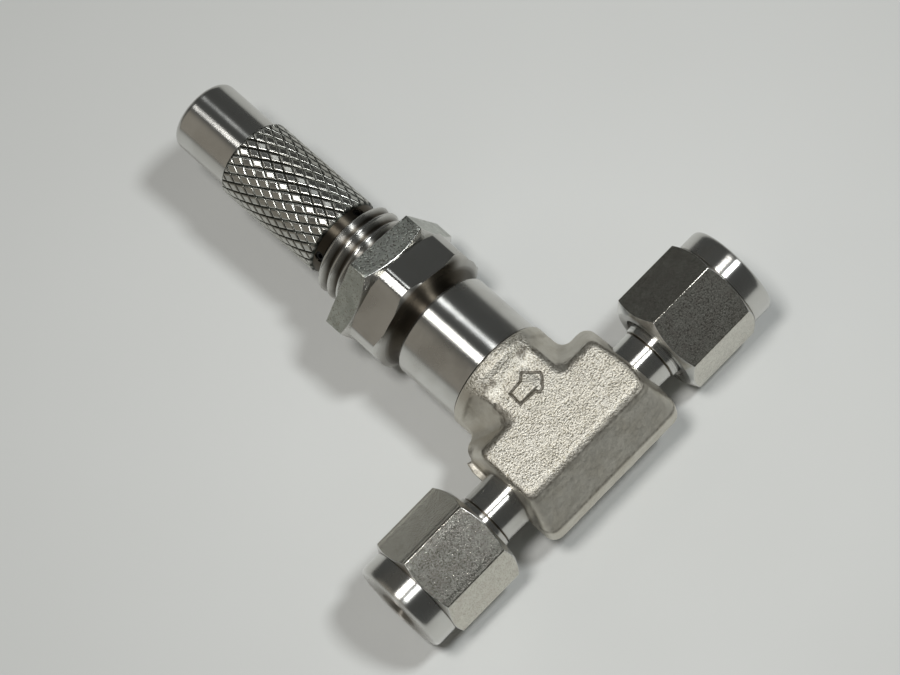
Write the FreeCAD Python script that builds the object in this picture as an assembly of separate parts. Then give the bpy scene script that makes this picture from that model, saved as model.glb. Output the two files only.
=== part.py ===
"""Low-flow needle metering valve, inline, for 3.175 mm tube, panel mounted.

Millimetres. X is the run from inlet to outlet, Y is the stem towards the handle, Z is up.
The origin is on the underside pad of the forging, straight below the crossing of run and stem.
"""
import FreeCAD, Part
import math
import os

from FreeCAD import Vector

# Forging: a drafted tee, its two halves alike, with a trimmed flash band between them
PAD_THICKNESS = 10.6
PAD_INLET_END = 8.35
PAD_OUTLET_END = 8.5
PAD_OUTLET_CROWN = 0.7
PAD_CROWN_RADIUS = 6.0
PAD_LOW = 3.45
PAD_HIGH = 3.75
PAD_STEM_INLET_SIDE = 3.3
PAD_STEM_OUTLET_SIDE = 3.7
PAD_STEM_TOP = 8.5
PAD_CORNER_RADIUS = 0.9
PAD_NOTCH_RADIUS = 0.8
PAD_EDGE_RADIUS = 0.45
CORNER_FACETS = 5
FLASH_BAND_HEIGHT = 2.0
PARTING_INLET_LOW_END = 9.3
PARTING_INLET_HIGH_END = 8.5
PARTING_OUTLET_END = 9.9
PARTING_OUTLET_CROWN = 0.5
PARTING_CROWN_RADIUS = 30.0
CROWN_PLACE = -1.2
PARTING_LOW = 6.9
PARTING_HIGH = 6.9
PARTING_STEM_HALF_WIDTH = 6.5
PARTING_CORNER_RADIUS = 1.3
PARTING_NOTCH_RADIUS = 1.2
COLLAR_DIAMETER = 13.1
COLLAR_LENGTH = 1.7
COLLAR_ROUND = 1.1
COLLAR_END = 10.3

# Turned neck of the body, along the stem axis
NECK_DIAMETER = 12.6
NECK_LENGTH = 8.8
NECK_CHAMFER = 0.3

# Tube ends of the body, along the run axis
TUBE_DIAMETER = 3.175
STUB_DIAMETER = 6.35
STUB_FLARE = 0.25
STUB_FLARE_START = 9.5
STUB_FLARE_LENGTH = 0.9
STUB_END = 12.5
THREAD_SHOULDER_DIAMETER = 6.9
THREAD_START = 14.4
PORT_THREAD_DIAMETER = 7.94
PORT_END = 19.4
SOCKET_SHOULDER = 12.6
SOCKET_CLEARANCE = 0.03
FERRULE_CONE_ANGLE = 12.0
CONE_MOUTH_DIAMETER = 4.9

# Flow path through the body
PASSAGE_DIAMETER = 2.3
PASSAGE_OVERRUN = 0.9
ORIFICE_DIAMETER = 0.84
SEAT_HEIGHT = 3.0
CHAMBER_DIAMETER = 4.2
OUTLET_DRILL_DIAMETER = 1.5
OUTLET_DRILL_RISE = 4.3

# Tube nuts
NUT_ACROSS_FLATS = 11.11
NUT_START = 13.1
NUT_HEX_LENGTH = 9.4
NUT_ROUND_DIAMETER = 11.1
NUT_ROUND_LENGTH = 2.75
NUT_ROUND_EDGE = 0.55
NUT_ROUND_EDGE_FACET = 0.17
NUT_CHAMFER_ANGLE = 30.0
NUT_FACE_DIAMETER = 10.33
NUT_THREAD_CHAMFER = 0.25
NUT_MOUTH_DIAMETER = 4.0
NUT_MOUTH_DEPTH = 0.45
INLET_NUT_TURN = 22.0
OUTLET_NUT_TURN = 31.0
THREAD_CLEARANCE = 0.03

# Ferrules
FERRULE_BORE_CLEARANCE = 0.05
FERRULE_NOSE_LENGTH = 1.7
FERRULE_FLANGE_LENGTH = 1.0
FERRULE_FLANGE_DIAMETER = 5.7
BACK_FERRULE_LENGTH = 1.9
BACK_FERRULE_DIAMETER = 5.2
BACK_FERRULE_NOSE_DIAMETER = 4.3
BACK_FERRULE_NOSE_LENGTH = 0.7
FERRULE_SEAT_GAP = 0.03

# Bonnet
BONNET_SCREW_DIAMETER = 9.2
BONNET_RELIEF_DIAMETER = 10.6
BONNET_RELIEF_LENGTH = 1.4
BONNET_HEX_LENGTH = 4.3
BONNET_HEX_TURNED_DIAMETER = 15.7
BONNET_HEX_FACE_DIAMETER = 14.8
BONNET_HEX_TURN = 40.0
PANEL_THREAD_DIAMETER = 11.11
PANEL_THREAD_LENGTH = 7.45
PANEL_THREAD_CHAMFER = 0.55
GLAND_TOP_WALL = 1.55

# Panel nut
PANEL_NUT_ACROSS_FLATS = 14.29
PANEL_NUT_THICKNESS = 3.05
PANEL_NUT_SEAT_GAP = 0.08
PANEL_NUT_TURN = 50.5
PANEL_NUT_FACE_DIAMETER = 15.28
PANEL_NUT_BORE_CHAMFER = 0.4

# Seals between body, bonnet and needle
GASKET_THICKNESS = 0.5
GASKET_BORE_DIAMETER = 5.2
GASKET_RIM_GAP = 0.15
BUSH_FLANGE_THICKNESS = 0.8
BUSH_SPIGOT_LENGTH = 0.6
GLAND_DIAMETER = 5.16
BACKUP_RING_THICKNESS = 0.5
O_RING_THICKNESS = 1.0
SEAL_CLEARANCE = 0.02

# Needle, held in the foot of the stem so that it lifts but doesn't turn
NEEDLE_DIAMETER = 3.0
NEEDLE_TAPER_ANGLE = 1.0
NEEDLE_SEAT_CLEARANCE = 0.025
NEEDLE_TIP_BELOW_SEAT = 3.4
NEEDLE_TIP_ROUND = 0.12
NEEDLE_TAPER_ABOVE_SEAT = 0.5
NEEDLE_SHOULDER_LENGTH = 0.9
NEEDLE_HEAD_DIAMETER = 4.0
NEEDLE_HEAD_LENGTH = 1.0
NEEDLE_GUIDE_CLEARANCE = 0.04
SWIVEL_CLEARANCE = 0.03

# Stem
STEM_THREAD_DIAMETER = 6.25
STEM_FOOT_GAP = 0.3
STEM_THREAD_LENGTH = 12.4
STEM_SHANK_DIAMETER = 4.76
STEM_SHANK_LENGTH = 17.0
RETAINER_LENGTH = 1.05
RETAINER_DIAMETER = 4.9
STEM_CHAMFER = 0.35

# Handle
HANDLE_GAP = 0.3
HANDLE_BAND_DIAMETER = 8.9
HANDLE_BAND_LENGTH = 1.3
HANDLE_BAND_CHAMFER = 0.25
KNURL_DIAMETER = 9.62
KNURL_LENGTH = 14.35
KNURL_LEAD = 0.2
KNURL_CHAMFER = 0.45
TIP_DIAMETER = 8.6
TIP_LENGTH = 7.9
TIP_EDGE_RADIUS = 0.8
HANDLE_BORE_CLEARANCE = 0.02
HANDLE_BORE_SPARE = 0.6

# Set screws in the smooth band of the handle
SET_SCREW_DIAMETER = 1.2
SET_SCREW_HOLE_CLEARANCE = 0.02
SET_SCREW_RECESS = 0.2
SET_SCREW_SOCKET_DIAMETER = 0.55
SET_SCREW_SOCKET_DEPTH = 0.7
SET_SCREW_DIRECTIONS = {"handle_set_screw_front": 55.0, "handle_set_screw_rear": 145.0}

# Room past a surface for a cut to break through cleanly
CUT_PAST = 1.0

# Heights and places worked out from the sizes above
RUN_HEIGHT = PAD_THICKNESS / 2
NECK_END = COLLAR_END + NECK_LENGTH
HEX_START = NECK_END + BONNET_RELIEF_LENGTH
HEX_END = HEX_START + BONNET_HEX_LENGTH
BONNET_END = HEX_END + PANEL_THREAD_LENGTH
PANEL_NUT_START = HEX_END + PANEL_NUT_SEAT_GAP
HANDLE_START = BONNET_END + HANDLE_GAP
KNURL_START = HANDLE_START + HANDLE_BAND_LENGTH
KNURL_END = KNURL_START + KNURL_LENGTH
HANDLE_END = KNURL_END + TIP_LENGTH
BODY_FLOOR = COLLAR_END + 0.3
GASKET_TOP = BODY_FLOOR + GASKET_THICKNESS
BONNET_FOOT = GASKET_TOP + BUSH_FLANGE_THICKNESS
GLAND_START = BONNET_FOOT + BUSH_SPIGOT_LENGTH
O_RING_START = GLAND_START + BACKUP_RING_THICKNESS
O_RING_END = O_RING_START + O_RING_THICKNESS
GLAND_END = O_RING_END + BACKUP_RING_THICKNESS
STEM_STOP = GLAND_END + GLAND_TOP_WALL
STEM_FOOT = STEM_STOP + STEM_FOOT_GAP
RETAINER_TOP = STEM_FOOT + RETAINER_LENGTH
HEAD_START = RETAINER_TOP + SWIVEL_CLEARANCE
HEAD_END = HEAD_START + NEEDLE_HEAD_LENGTH
STEM_THREAD_END = STEM_FOOT + STEM_THREAD_LENGTH
STEM_END = STEM_THREAD_END + STEM_SHANK_LENGTH
NUT_HEX_END = NUT_START + NUT_HEX_LENGTH
NUT_END = NUT_HEX_END + NUT_ROUND_LENGTH
FERRULE_FLANGE_START = PORT_END + FERRULE_SEAT_GAP
FERRULE_FLANGE_END = FERRULE_FLANGE_START + FERRULE_FLANGE_LENGTH
BACK_FERRULE_END = FERRULE_FLANGE_END + BACK_FERRULE_LENGTH
TUBE_BORE_RADIUS = TUBE_DIAMETER / 2 + SOCKET_CLEARANCE
FERRULE_BORE_RADIUS = TUBE_DIAMETER / 2 + FERRULE_BORE_CLEARANCE
NEEDLE_BORE_RADIUS = NEEDLE_DIAMETER / 2 + NEEDLE_GUIDE_CLEARANCE


def polygon(points):
    """Flat face inside a closed line of points."""
    return Part.Face(Part.makePolygon(points + [points[0]]))


def turned(profile):
    """Solid of revolution about Z from (height, radius) points, closed back along them."""
    points = [Vector(radius, 0, height) for height, radius in profile]
    return polygon(points).revolve(Vector(0, 0, 0), Vector(0, 0, 1), 360)


def rod(start, end, radius):
    """Plain cylinder about Z between two heights."""
    return Part.makeCylinder(radius, end - start, Vector(0, 0, start))


def tube(start, end, inner, outer):
    """Ring about Z between two heights."""
    return rod(start, end, outer).cut(rod(start - CUT_PAST, end + CUT_PAST, inner))


def hex_bar(start, end, across_flats, turn):
    """Hexagonal prism about Z, its first corner at an angle of turn degrees from X."""
    corner = across_flats / math.sqrt(3)
    angles = [math.radians(turn + 60 * k) for k in range(6)]
    points = [Vector(corner * math.cos(a), corner * math.sin(a), start) for a in angles]
    return polygon(points).extrude(Vector(0, 0, end - start))


def chamfer_envelope(start, end, face_radius, turned_radius):
    """Bar with a cone at each end, which takes the corners off a hexagon."""
    depth = (turned_radius - face_radius) * math.tan(math.radians(NUT_CHAMFER_ANGLE))
    return turned([(start, 0), (start, face_radius), (start + depth, turned_radius),
                   (end - depth, turned_radius), (end, face_radius), (end, 0)])


def on_stem(shape):
    """Turns a part made about Z onto the stem axis, which runs along Y at run height."""
    placed = shape.copy()
    placed.rotate(Vector(0, 0, 0), Vector(1, 0, 0), -90)
    placed.translate(Vector(0, 0, RUN_HEIGHT))
    return placed


def on_run(shape, side):
    """Turns a part made about Z onto the run axis, side 1 at the outlet and -1 at the inlet."""
    placed = shape.copy()
    placed.rotate(Vector(0, 0, 0), Vector(0, 1, 0), 90)
    if side < 0:
        placed.rotate(Vector(0, 0, 0), Vector(0, 0, 1), 180)
    placed.translate(Vector(0, 0, RUN_HEIGHT))
    return placed


def rounded_corner(before, here, after, radius):
    """Points along the rounding of one corner of an outline, in flat facets."""
    back = (before - here).normalize()
    ahead = (after - here).normalize()
    half_angle = back.getAngle(ahead) / 2
    setback = radius / math.tan(half_angle)
    centre = here + (back + ahead).normalize() * (radius / math.sin(half_angle))
    first = here + back * setback - centre
    last = here + ahead * setback - centre
    sweep = first.getAngle(last)
    shares = [k / CORNER_FACETS for k in range(CORNER_FACETS + 1)]
    return [centre + first * (math.sin((1 - share) * sweep) / math.sin(sweep))
            + last * (math.sin(share * sweep) / math.sin(sweep)) for share in shares]


def tee_outline(inlet_ends, outlet_end, crown, low, high, stem_sides, stem_top, corner, notch):
    """Plan outline of the tee, with its outer corners, its two notches and its crowned outlet end rounded."""
    inlet_low, inlet_high = inlet_ends
    crown_height, crown_radius = crown
    inlet_side, outlet_side = stem_sides
    corners = [(-inlet_low, -low, corner), (outlet_end, -low, corner),
               (outlet_end + crown_height, CROWN_PLACE, crown_radius), (outlet_end, high, corner),
               (outlet_side, high, notch), (outlet_side, stem_top, corner), (-inlet_side, stem_top, corner),
               (-inlet_side, high, notch), (-inlet_high, high, corner)]
    places = [Vector(x, y, 0) for x, y, radius in corners]
    points = []
    for k, (x, y, radius) in enumerate(corners):
        points += rounded_corner(places[k - 1], places[k], places[(k + 1) % len(places)], radius)
    return points


def pad_outline(inset):
    """Outline of the flat pad on top or below, drawn in by an inset."""
    inlet_end = PAD_INLET_END - inset
    return tee_outline((inlet_end, inlet_end), PAD_OUTLET_END - inset, (PAD_OUTLET_CROWN, PAD_CROWN_RADIUS),
                       PAD_LOW - inset, PAD_HIGH - inset,
                       (PAD_STEM_INLET_SIDE - inset, PAD_STEM_OUTLET_SIDE - inset),
                       PAD_STEM_TOP - inset, PAD_CORNER_RADIUS - inset, PAD_NOTCH_RADIUS + inset)


def forging_stages():
    """Outlines of the forging's upper half by height, from the flash band over the draft to the rounded rim."""
    parting = tee_outline((PARTING_INLET_LOW_END, PARTING_INLET_HIGH_END), PARTING_OUTLET_END,
                          (PARTING_OUTLET_CROWN, PARTING_CROWN_RADIUS), PARTING_LOW, PARTING_HIGH,
                          (PARTING_STEM_HALF_WIDTH, PARTING_STEM_HALF_WIDTH), COLLAR_END,
                          PARTING_CORNER_RADIUS, PARTING_NOTCH_RADIUS)
    pad = pad_outline(0)
    band = FLASH_BAND_HEIGHT / 2
    top = PAD_THICKNESS / 2
    slope_share = PAD_EDGE_RADIUS / (top - band)
    drafted = [high + (low - high) * slope_share for high, low in zip(pad, parting)]
    quarter = PAD_EDGE_RADIUS * (1 - math.sqrt(0.5))
    return [(band, parting), (top - PAD_EDGE_RADIUS, drafted), (top - quarter, pad_outline(quarter)),
            (top, pad_outline(PAD_EDGE_RADIUS))]


def forged_tee():
    """Forging with flat facets: both dies' halves and the trimmed flash band, about the crossing of the axes."""
    upper = forging_stages()
    stages = [(-height, outline) for height, outline in reversed(upper)] + upper
    rings = [[point + Vector(0, 0, height) for point in outline] for height, outline in stages]
    faces = [polygon(rings[0]), polygon(rings[-1])]
    for lower_ring, upper_ring in zip(rings, rings[1:]):
        for k in range(len(lower_ring)):
            first, last = lower_ring[k - 1], upper_ring[k]
            faces += [polygon([first, lower_ring[k], last]), polygon([first, last, upper_ring[k - 1]])]
    shell = Part.makeShell(faces)
    shell.sewShape()
    tee = Part.makeSolid(shell)
    if tee.Volume < 0:
        tee.reverse()
    return tee


def collar_and_neck():
    """Round forged collar and the turned neck that takes the bonnet, about Z."""
    collar = COLLAR_DIAMETER / 2
    back = COLLAR_END - COLLAR_LENGTH
    neck = NECK_DIAMETER / 2
    return turned([(0, 0), (0, PAD_STEM_INLET_SIDE), (back - COLLAR_ROUND, PAD_STEM_INLET_SIDE),
                   (back - COLLAR_ROUND / 2, collar - COLLAR_ROUND), (back, collar - COLLAR_ROUND / 3),
                   (back + COLLAR_ROUND / 2, collar), (COLLAR_END, collar), (COLLAR_END, neck),
                   (NECK_END - NECK_CHAMFER, neck), (NECK_END, neck - NECK_CHAMFER), (NECK_END, 0)])


def tube_end():
    """Male end for a tube nut, from inside the tee to the ferrule cone, about Z."""
    stub = STUB_DIAMETER / 2
    shoulder = THREAD_SHOULDER_DIAMETER / 2
    thread = PORT_THREAD_DIAMETER / 2
    lead = thread - shoulder
    return turned([(0, 0), (0, stub + STUB_FLARE), (STUB_FLARE_START, stub + STUB_FLARE),
                   (STUB_FLARE_START + STUB_FLARE_LENGTH, stub), (STUB_END, stub), (STUB_END, shoulder),
                   (THREAD_START, shoulder), (THREAD_START, thread), (PORT_END - lead, thread),
                   (PORT_END, shoulder), (PORT_END, 0)])


def cone_depth():
    """Length of the ferrule cone from the mouth down to the tube socket."""
    return (CONE_MOUTH_DIAMETER / 2 - TUBE_BORE_RADIUS) / math.tan(math.radians(FERRULE_CONE_ANGLE))


def socket_cut():
    """Ferrule cone and tube socket, about Z."""
    mouth = CONE_MOUTH_DIAMETER / 2
    return turned([(SOCKET_SHOULDER, 0), (SOCKET_SHOULDER, TUBE_BORE_RADIUS),
                   (PORT_END - cone_depth(), TUBE_BORE_RADIUS), (PORT_END, mouth),
                   (PORT_END + CUT_PAST, mouth), (PORT_END + CUT_PAST, 0)])


def drilled(start, end, diameter):
    """Drilled hole between two points, in the frame of the crossing."""
    way = end - start
    return Part.makeCylinder(diameter / 2, way.Length, start, way)


def flow_path():
    """Inlet passage, orifice, needle chamber and the slanted outlet drilling, about the crossing."""
    inlet = drilled(Vector(-SOCKET_SHOULDER - CUT_PAST, 0, 0), Vector(PASSAGE_OVERRUN, 0, 0), PASSAGE_DIAMETER)
    orifice = drilled(Vector(0, 0, 0), Vector(0, SEAT_HEIGHT + CUT_PAST, 0), ORIFICE_DIAMETER)
    chamber = drilled(Vector(0, SEAT_HEIGHT, 0), Vector(0, BODY_FLOOR + CUT_PAST, 0), CHAMBER_DIAMETER)
    outlet = drilled(Vector(SOCKET_SHOULDER + CUT_PAST, -OUTLET_DRILL_RISE * CUT_PAST / SOCKET_SHOULDER, 0),
                     Vector(0, OUTLET_DRILL_RISE, 0), OUTLET_DRILL_DIAMETER)
    return inlet.fuse([orifice, chamber, outlet])


def bonnet_bore():
    """Threaded bore in the neck, down to the floor that the gasket sits on, about Z."""
    return rod(BODY_FLOOR, NECK_END + CUT_PAST, BONNET_SCREW_DIAMETER / 2 + THREAD_CLEARANCE)


def make_body():
    """Forged and turned body, bored through."""
    blank = forged_tee()
    blank.translate(Vector(0, 0, RUN_HEIGHT))
    blank = blank.fuse([on_stem(collar_and_neck()), on_run(tube_end(), 1), on_run(tube_end(), -1)])
    path = flow_path()
    path.translate(Vector(0, 0, RUN_HEIGHT))
    return blank.cut([on_run(socket_cut(), 1), on_run(socket_cut(), -1), on_stem(bonnet_bore()), path])


def make_tube_nut(side, turn):
    """Hexagonal tube nut with a round end, bored for thread, ferrules and tube."""
    corner = NUT_ACROSS_FLATS / math.sqrt(3)
    face = NUT_FACE_DIAMETER / 2
    hexagon = hex_bar(NUT_START, NUT_HEX_END, NUT_ACROSS_FLATS, turn + 90)
    hexagon = hexagon.common(chamfer_envelope(NUT_START, NUT_HEX_END, face, corner))
    end = NUT_ROUND_DIAMETER / 2
    round_end = turned([(NUT_HEX_END - CUT_PAST, 0), (NUT_HEX_END - CUT_PAST, face), (NUT_HEX_END, face),
                        (NUT_HEX_END + NUT_ROUND_EDGE / 2, end), (NUT_END - NUT_ROUND_EDGE, end),
                        (NUT_END - NUT_ROUND_EDGE_FACET, end - NUT_ROUND_EDGE_FACET),
                        (NUT_END, end - NUT_ROUND_EDGE), (NUT_END, 0)])
    thread = PORT_THREAD_DIAMETER / 2 + THREAD_CLEARANCE
    pocket = FERRULE_FLANGE_DIAMETER / 2 + FERRULE_SEAT_GAP
    shoulder = BACK_FERRULE_END + FERRULE_SEAT_GAP
    bore = FERRULE_BORE_RADIUS
    mouth = NUT_MOUTH_DIAMETER / 2
    cavity = turned([(NUT_START - CUT_PAST, 0), (NUT_START - CUT_PAST, thread + NUT_THREAD_CHAMFER),
                     (NUT_START, thread + NUT_THREAD_CHAMFER), (NUT_START + NUT_THREAD_CHAMFER, thread),
                     (PORT_END + FERRULE_SEAT_GAP, thread),
                     (PORT_END + FERRULE_FLANGE_LENGTH + FERRULE_SEAT_GAP, pocket),
                     (shoulder, pocket), (shoulder, bore), (NUT_END - NUT_MOUTH_DEPTH, bore),
                     (NUT_END, mouth), (NUT_END + CUT_PAST, mouth), (NUT_END + CUT_PAST, 0)])
    return on_run(hexagon.fuse(round_end).cut(cavity), side)


def make_front_ferrule(side):
    """Conical front ferrule, its nose in the body's cone."""
    slope = math.tan(math.radians(FERRULE_CONE_ANGLE))
    root = CONE_MOUTH_DIAMETER / 2 - FERRULE_SEAT_GAP
    bevel = BACK_FERRULE_NOSE_DIAMETER / 2
    return on_run(turned([
        (PORT_END - FERRULE_NOSE_LENGTH, FERRULE_BORE_RADIUS),
        (PORT_END - FERRULE_NOSE_LENGTH, root - FERRULE_NOSE_LENGTH * slope), (PORT_END, root),
        (FERRULE_FLANGE_START, root), (FERRULE_FLANGE_START, FERRULE_FLANGE_DIAMETER / 2),
        (FERRULE_FLANGE_END, FERRULE_FLANGE_DIAMETER / 2), (FERRULE_FLANGE_END, bevel),
        (FERRULE_FLANGE_END - BACK_FERRULE_NOSE_LENGTH, FERRULE_BORE_RADIUS)]), side)


def make_back_ferrule(side):
    """Back ferrule, its nose in the rear bevel of the front one."""
    nose = BACK_FERRULE_NOSE_DIAMETER / 2
    rim = BACK_FERRULE_DIAMETER / 2
    return on_run(turned([
        (FERRULE_FLANGE_END - BACK_FERRULE_NOSE_LENGTH, FERRULE_BORE_RADIUS), (FERRULE_FLANGE_END, nose),
        (FERRULE_FLANGE_END + (rim - nose), rim), (BACK_FERRULE_END, rim),
        (BACK_FERRULE_END, FERRULE_BORE_RADIUS)]), side)


def make_bonnet():
    """Bonnet: screwed foot with the seal gland, turned hexagon and panel thread."""
    screw = BONNET_SCREW_DIAMETER / 2
    relief = BONNET_RELIEF_DIAMETER / 2
    thread = PANEL_THREAD_DIAMETER / 2
    core = turned([(BONNET_FOOT, 0), (BONNET_FOOT, screw), (NECK_END, screw), (NECK_END, relief),
                   (HEX_START, relief), (HEX_END, relief), (HEX_END, thread),
                   (BONNET_END - PANEL_THREAD_CHAMFER, thread),
                   (BONNET_END, thread - PANEL_THREAD_CHAMFER), (BONNET_END, 0)])
    hexagon = hex_bar(HEX_START, HEX_END, PANEL_NUT_ACROSS_FLATS, -BONNET_HEX_TURN)
    hexagon = hexagon.common(chamfer_envelope(HEX_START, HEX_END, BONNET_HEX_FACE_DIAMETER / 2,
                                              BONNET_HEX_TURNED_DIAMETER / 2))
    stem_bore = rod(STEM_STOP, BONNET_END + CUT_PAST, STEM_THREAD_DIAMETER / 2 + THREAD_CLEARANCE)
    needle_bore = rod(BONNET_FOOT, STEM_STOP + CUT_PAST, NEEDLE_BORE_RADIUS)
    gland = rod(BONNET_FOOT - CUT_PAST, GLAND_END, GLAND_DIAMETER / 2)
    return on_stem(core.fuse(hexagon).cut([stem_bore, needle_bore, gland]).removeSplitter())


def make_panel_nut():
    """Thin hexagonal panel nut on the bonnet's thread."""
    end = PANEL_NUT_START + PANEL_NUT_THICKNESS
    corner = PANEL_NUT_ACROSS_FLATS / math.sqrt(3)
    face = PANEL_NUT_FACE_DIAMETER / 2
    depth = (corner - face) * math.tan(math.radians(NUT_CHAMFER_ANGLE))
    blank = hex_bar(PANEL_NUT_START, end, PANEL_NUT_ACROSS_FLATS, -PANEL_NUT_TURN)
    blank = blank.common(turned([(PANEL_NUT_START, 0), (PANEL_NUT_START, face),
                                 (PANEL_NUT_START + depth, corner), (end, corner), (end, 0)]))
    bore = PANEL_THREAD_DIAMETER / 2 + THREAD_CLEARANCE
    mouth = bore + PANEL_NUT_BORE_CHAMFER
    cut = turned([(PANEL_NUT_START - CUT_PAST, 0), (PANEL_NUT_START - CUT_PAST, mouth),
                  (PANEL_NUT_START, mouth), (PANEL_NUT_START + PANEL_NUT_BORE_CHAMFER, bore),
                  (end - PANEL_NUT_BORE_CHAMFER, bore), (end, mouth), (end + CUT_PAST, mouth),
                  (end + CUT_PAST, 0)])
    return on_stem(blank.cut(cut))


def make_bonnet_gasket():
    """Flat gasket on the floor of the neck's bore."""
    rim = BONNET_SCREW_DIAMETER / 2 - GASKET_RIM_GAP
    return on_stem(tube(BODY_FLOOR, GASKET_TOP, GASKET_BORE_DIAMETER / 2, rim))


def make_gland_bush():
    """Flanged bush that guides the needle and holds the seals up in the bonnet."""
    flange = BONNET_SCREW_DIAMETER / 2 - GASKET_RIM_GAP
    spigot = GLAND_DIAMETER / 2 - SEAL_CLEARANCE
    return on_stem(turned([(GASKET_TOP, NEEDLE_BORE_RADIUS), (GASKET_TOP, flange), (BONNET_FOOT, flange),
                           (BONNET_FOOT, spigot), (GLAND_START, spigot), (GLAND_START, NEEDLE_BORE_RADIUS)]))


def make_backup_ring(start):
    """Flat ring beside the O-ring."""
    inner = NEEDLE_DIAMETER / 2 + SEAL_CLEARANCE
    return on_stem(tube(start, start + BACKUP_RING_THICKNESS, inner, GLAND_DIAMETER / 2 - SEAL_CLEARANCE))


def make_o_ring():
    """O-ring between needle and gland, a little squeezed by its two walls."""
    inner = NEEDLE_DIAMETER / 2 + SEAL_CLEARANCE
    outer = GLAND_DIAMETER / 2 - SEAL_CLEARANCE
    half = O_RING_THICKNESS / 2
    middle = (inner + outer) / 2
    flat = half / 3
    height = (O_RING_START + O_RING_END) / 2
    corners = [Vector(outer, 0, height - flat), Vector(outer, 0, height + flat),
               Vector(middle + flat, 0, height + half), Vector(middle - flat, 0, height + half),
               Vector(inner, 0, height + flat), Vector(inner, 0, height - flat),
               Vector(middle - flat, 0, height - half), Vector(middle + flat, 0, height - half)]
    return on_stem(polygon(corners).revolve(Vector(0, 0, 0), Vector(0, 0, 1), 360))


def make_needle():
    """Needle with a fine taper in the orifice, a guided shank and a head that swivels in the stem."""
    slope = math.tan(math.radians(NEEDLE_TAPER_ANGLE))
    at_seat = ORIFICE_DIAMETER / 2 - NEEDLE_SEAT_CLEARANCE
    tip = SEAT_HEIGHT - NEEDLE_TIP_BELOW_SEAT
    taper_end = SEAT_HEIGHT + NEEDLE_TAPER_ABOVE_SEAT
    at_tip = at_seat - NEEDLE_TIP_BELOW_SEAT * slope
    shank = NEEDLE_DIAMETER / 2
    head = NEEDLE_HEAD_DIAMETER / 2
    return on_stem(turned([
        (tip, 0), (tip, at_tip - NEEDLE_TIP_ROUND), (tip + NEEDLE_TIP_ROUND, at_tip),
        (taper_end, at_seat + NEEDLE_TAPER_ABOVE_SEAT * slope), (taper_end + NEEDLE_SHOULDER_LENGTH, shank),
        (HEAD_START, shank), (HEAD_START, head), (HEAD_END, head), (HEAD_END, 0)]))


def make_needle_retainer():
    """Ring in the foot of the stem, under the needle's head."""
    return on_stem(tube(STEM_FOOT, RETAINER_TOP, NEEDLE_BORE_RADIUS, RETAINER_DIAMETER / 2))


def make_stem():
    """Stem with the fine thread, the pocket for the needle's head and the shank for the handle."""
    thread = STEM_THREAD_DIAMETER / 2
    shank = STEM_SHANK_DIAMETER / 2
    blank = turned([(STEM_FOOT, 0), (STEM_FOOT, thread - STEM_CHAMFER), (STEM_FOOT + STEM_CHAMFER, thread),
                    (STEM_THREAD_END - STEM_CHAMFER, thread), (STEM_THREAD_END, thread - STEM_CHAMFER),
                    (STEM_THREAD_END, shank), (STEM_END - STEM_CHAMFER, shank),
                    (STEM_END, shank - STEM_CHAMFER), (STEM_END, 0)])
    pocket = rod(STEM_FOOT - CUT_PAST, RETAINER_TOP, RETAINER_DIAMETER / 2)
    head_room = rod(STEM_FOOT, HEAD_END + SWIVEL_CLEARANCE, NEEDLE_HEAD_DIAMETER / 2 + NEEDLE_GUIDE_CLEARANCE)
    return on_stem(blank.cut([pocket, head_room]))


def set_screw_place(shape, direction):
    """Turns a screw made along Z so that it lies across the handle's smooth band."""
    placed = shape.copy()
    placed.rotate(Vector(0, 0, 0), Vector(0, 1, 0), 90)
    placed.rotate(Vector(0, 0, 0), Vector(0, 0, 1), -direction)
    placed.translate(Vector(0, 0, HANDLE_START + HANDLE_BAND_LENGTH / 2))
    return placed


def make_set_screw(direction):
    """Headless set screw from the stem's shank to just under the band's surface."""
    start = STEM_SHANK_DIAMETER / 2
    end = HANDLE_BAND_DIAMETER / 2 - SET_SCREW_RECESS
    screw = rod(start, end, SET_SCREW_DIAMETER / 2)
    socket = hex_bar(end - SET_SCREW_SOCKET_DEPTH, end + CUT_PAST, SET_SCREW_SOCKET_DIAMETER, 0)
    return on_stem(set_screw_place(screw.cut(socket), direction))


def make_handle():
    """Turned handle: smooth band with the set screws, knurled grip and polished round tip."""
    band = HANDLE_BAND_DIAMETER / 2
    grip = KNURL_DIAMETER / 2
    tip = TIP_DIAMETER / 2
    quarter = TIP_EDGE_RADIUS * (1 - math.sqrt(0.5))
    blank = turned([(HANDLE_START, 0), (HANDLE_START, band - HANDLE_BAND_CHAMFER),
                    (HANDLE_START + HANDLE_BAND_CHAMFER, band), (KNURL_START, band),
                    (KNURL_START + KNURL_LEAD, grip), (KNURL_END - KNURL_CHAMFER, grip),
                    (KNURL_END, grip - KNURL_CHAMFER), (KNURL_END, tip), (HANDLE_END - TIP_EDGE_RADIUS, tip),
                    (HANDLE_END - quarter, tip - quarter), (HANDLE_END, tip - TIP_EDGE_RADIUS), (HANDLE_END, 0)])
    fit = STEM_SHANK_DIAMETER / 2 + HANDLE_BORE_CLEARANCE
    bore = rod(HANDLE_START - CUT_PAST, STEM_END + HANDLE_BORE_SPARE, fit)
    hole = rod(0, band + CUT_PAST, SET_SCREW_DIAMETER / 2 + SET_SCREW_HOLE_CLEARANCE)
    holes = [set_screw_place(hole, direction) for direction in SET_SCREW_DIRECTIONS.values()]
    return on_stem(blank.cut([bore] + holes))


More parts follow.
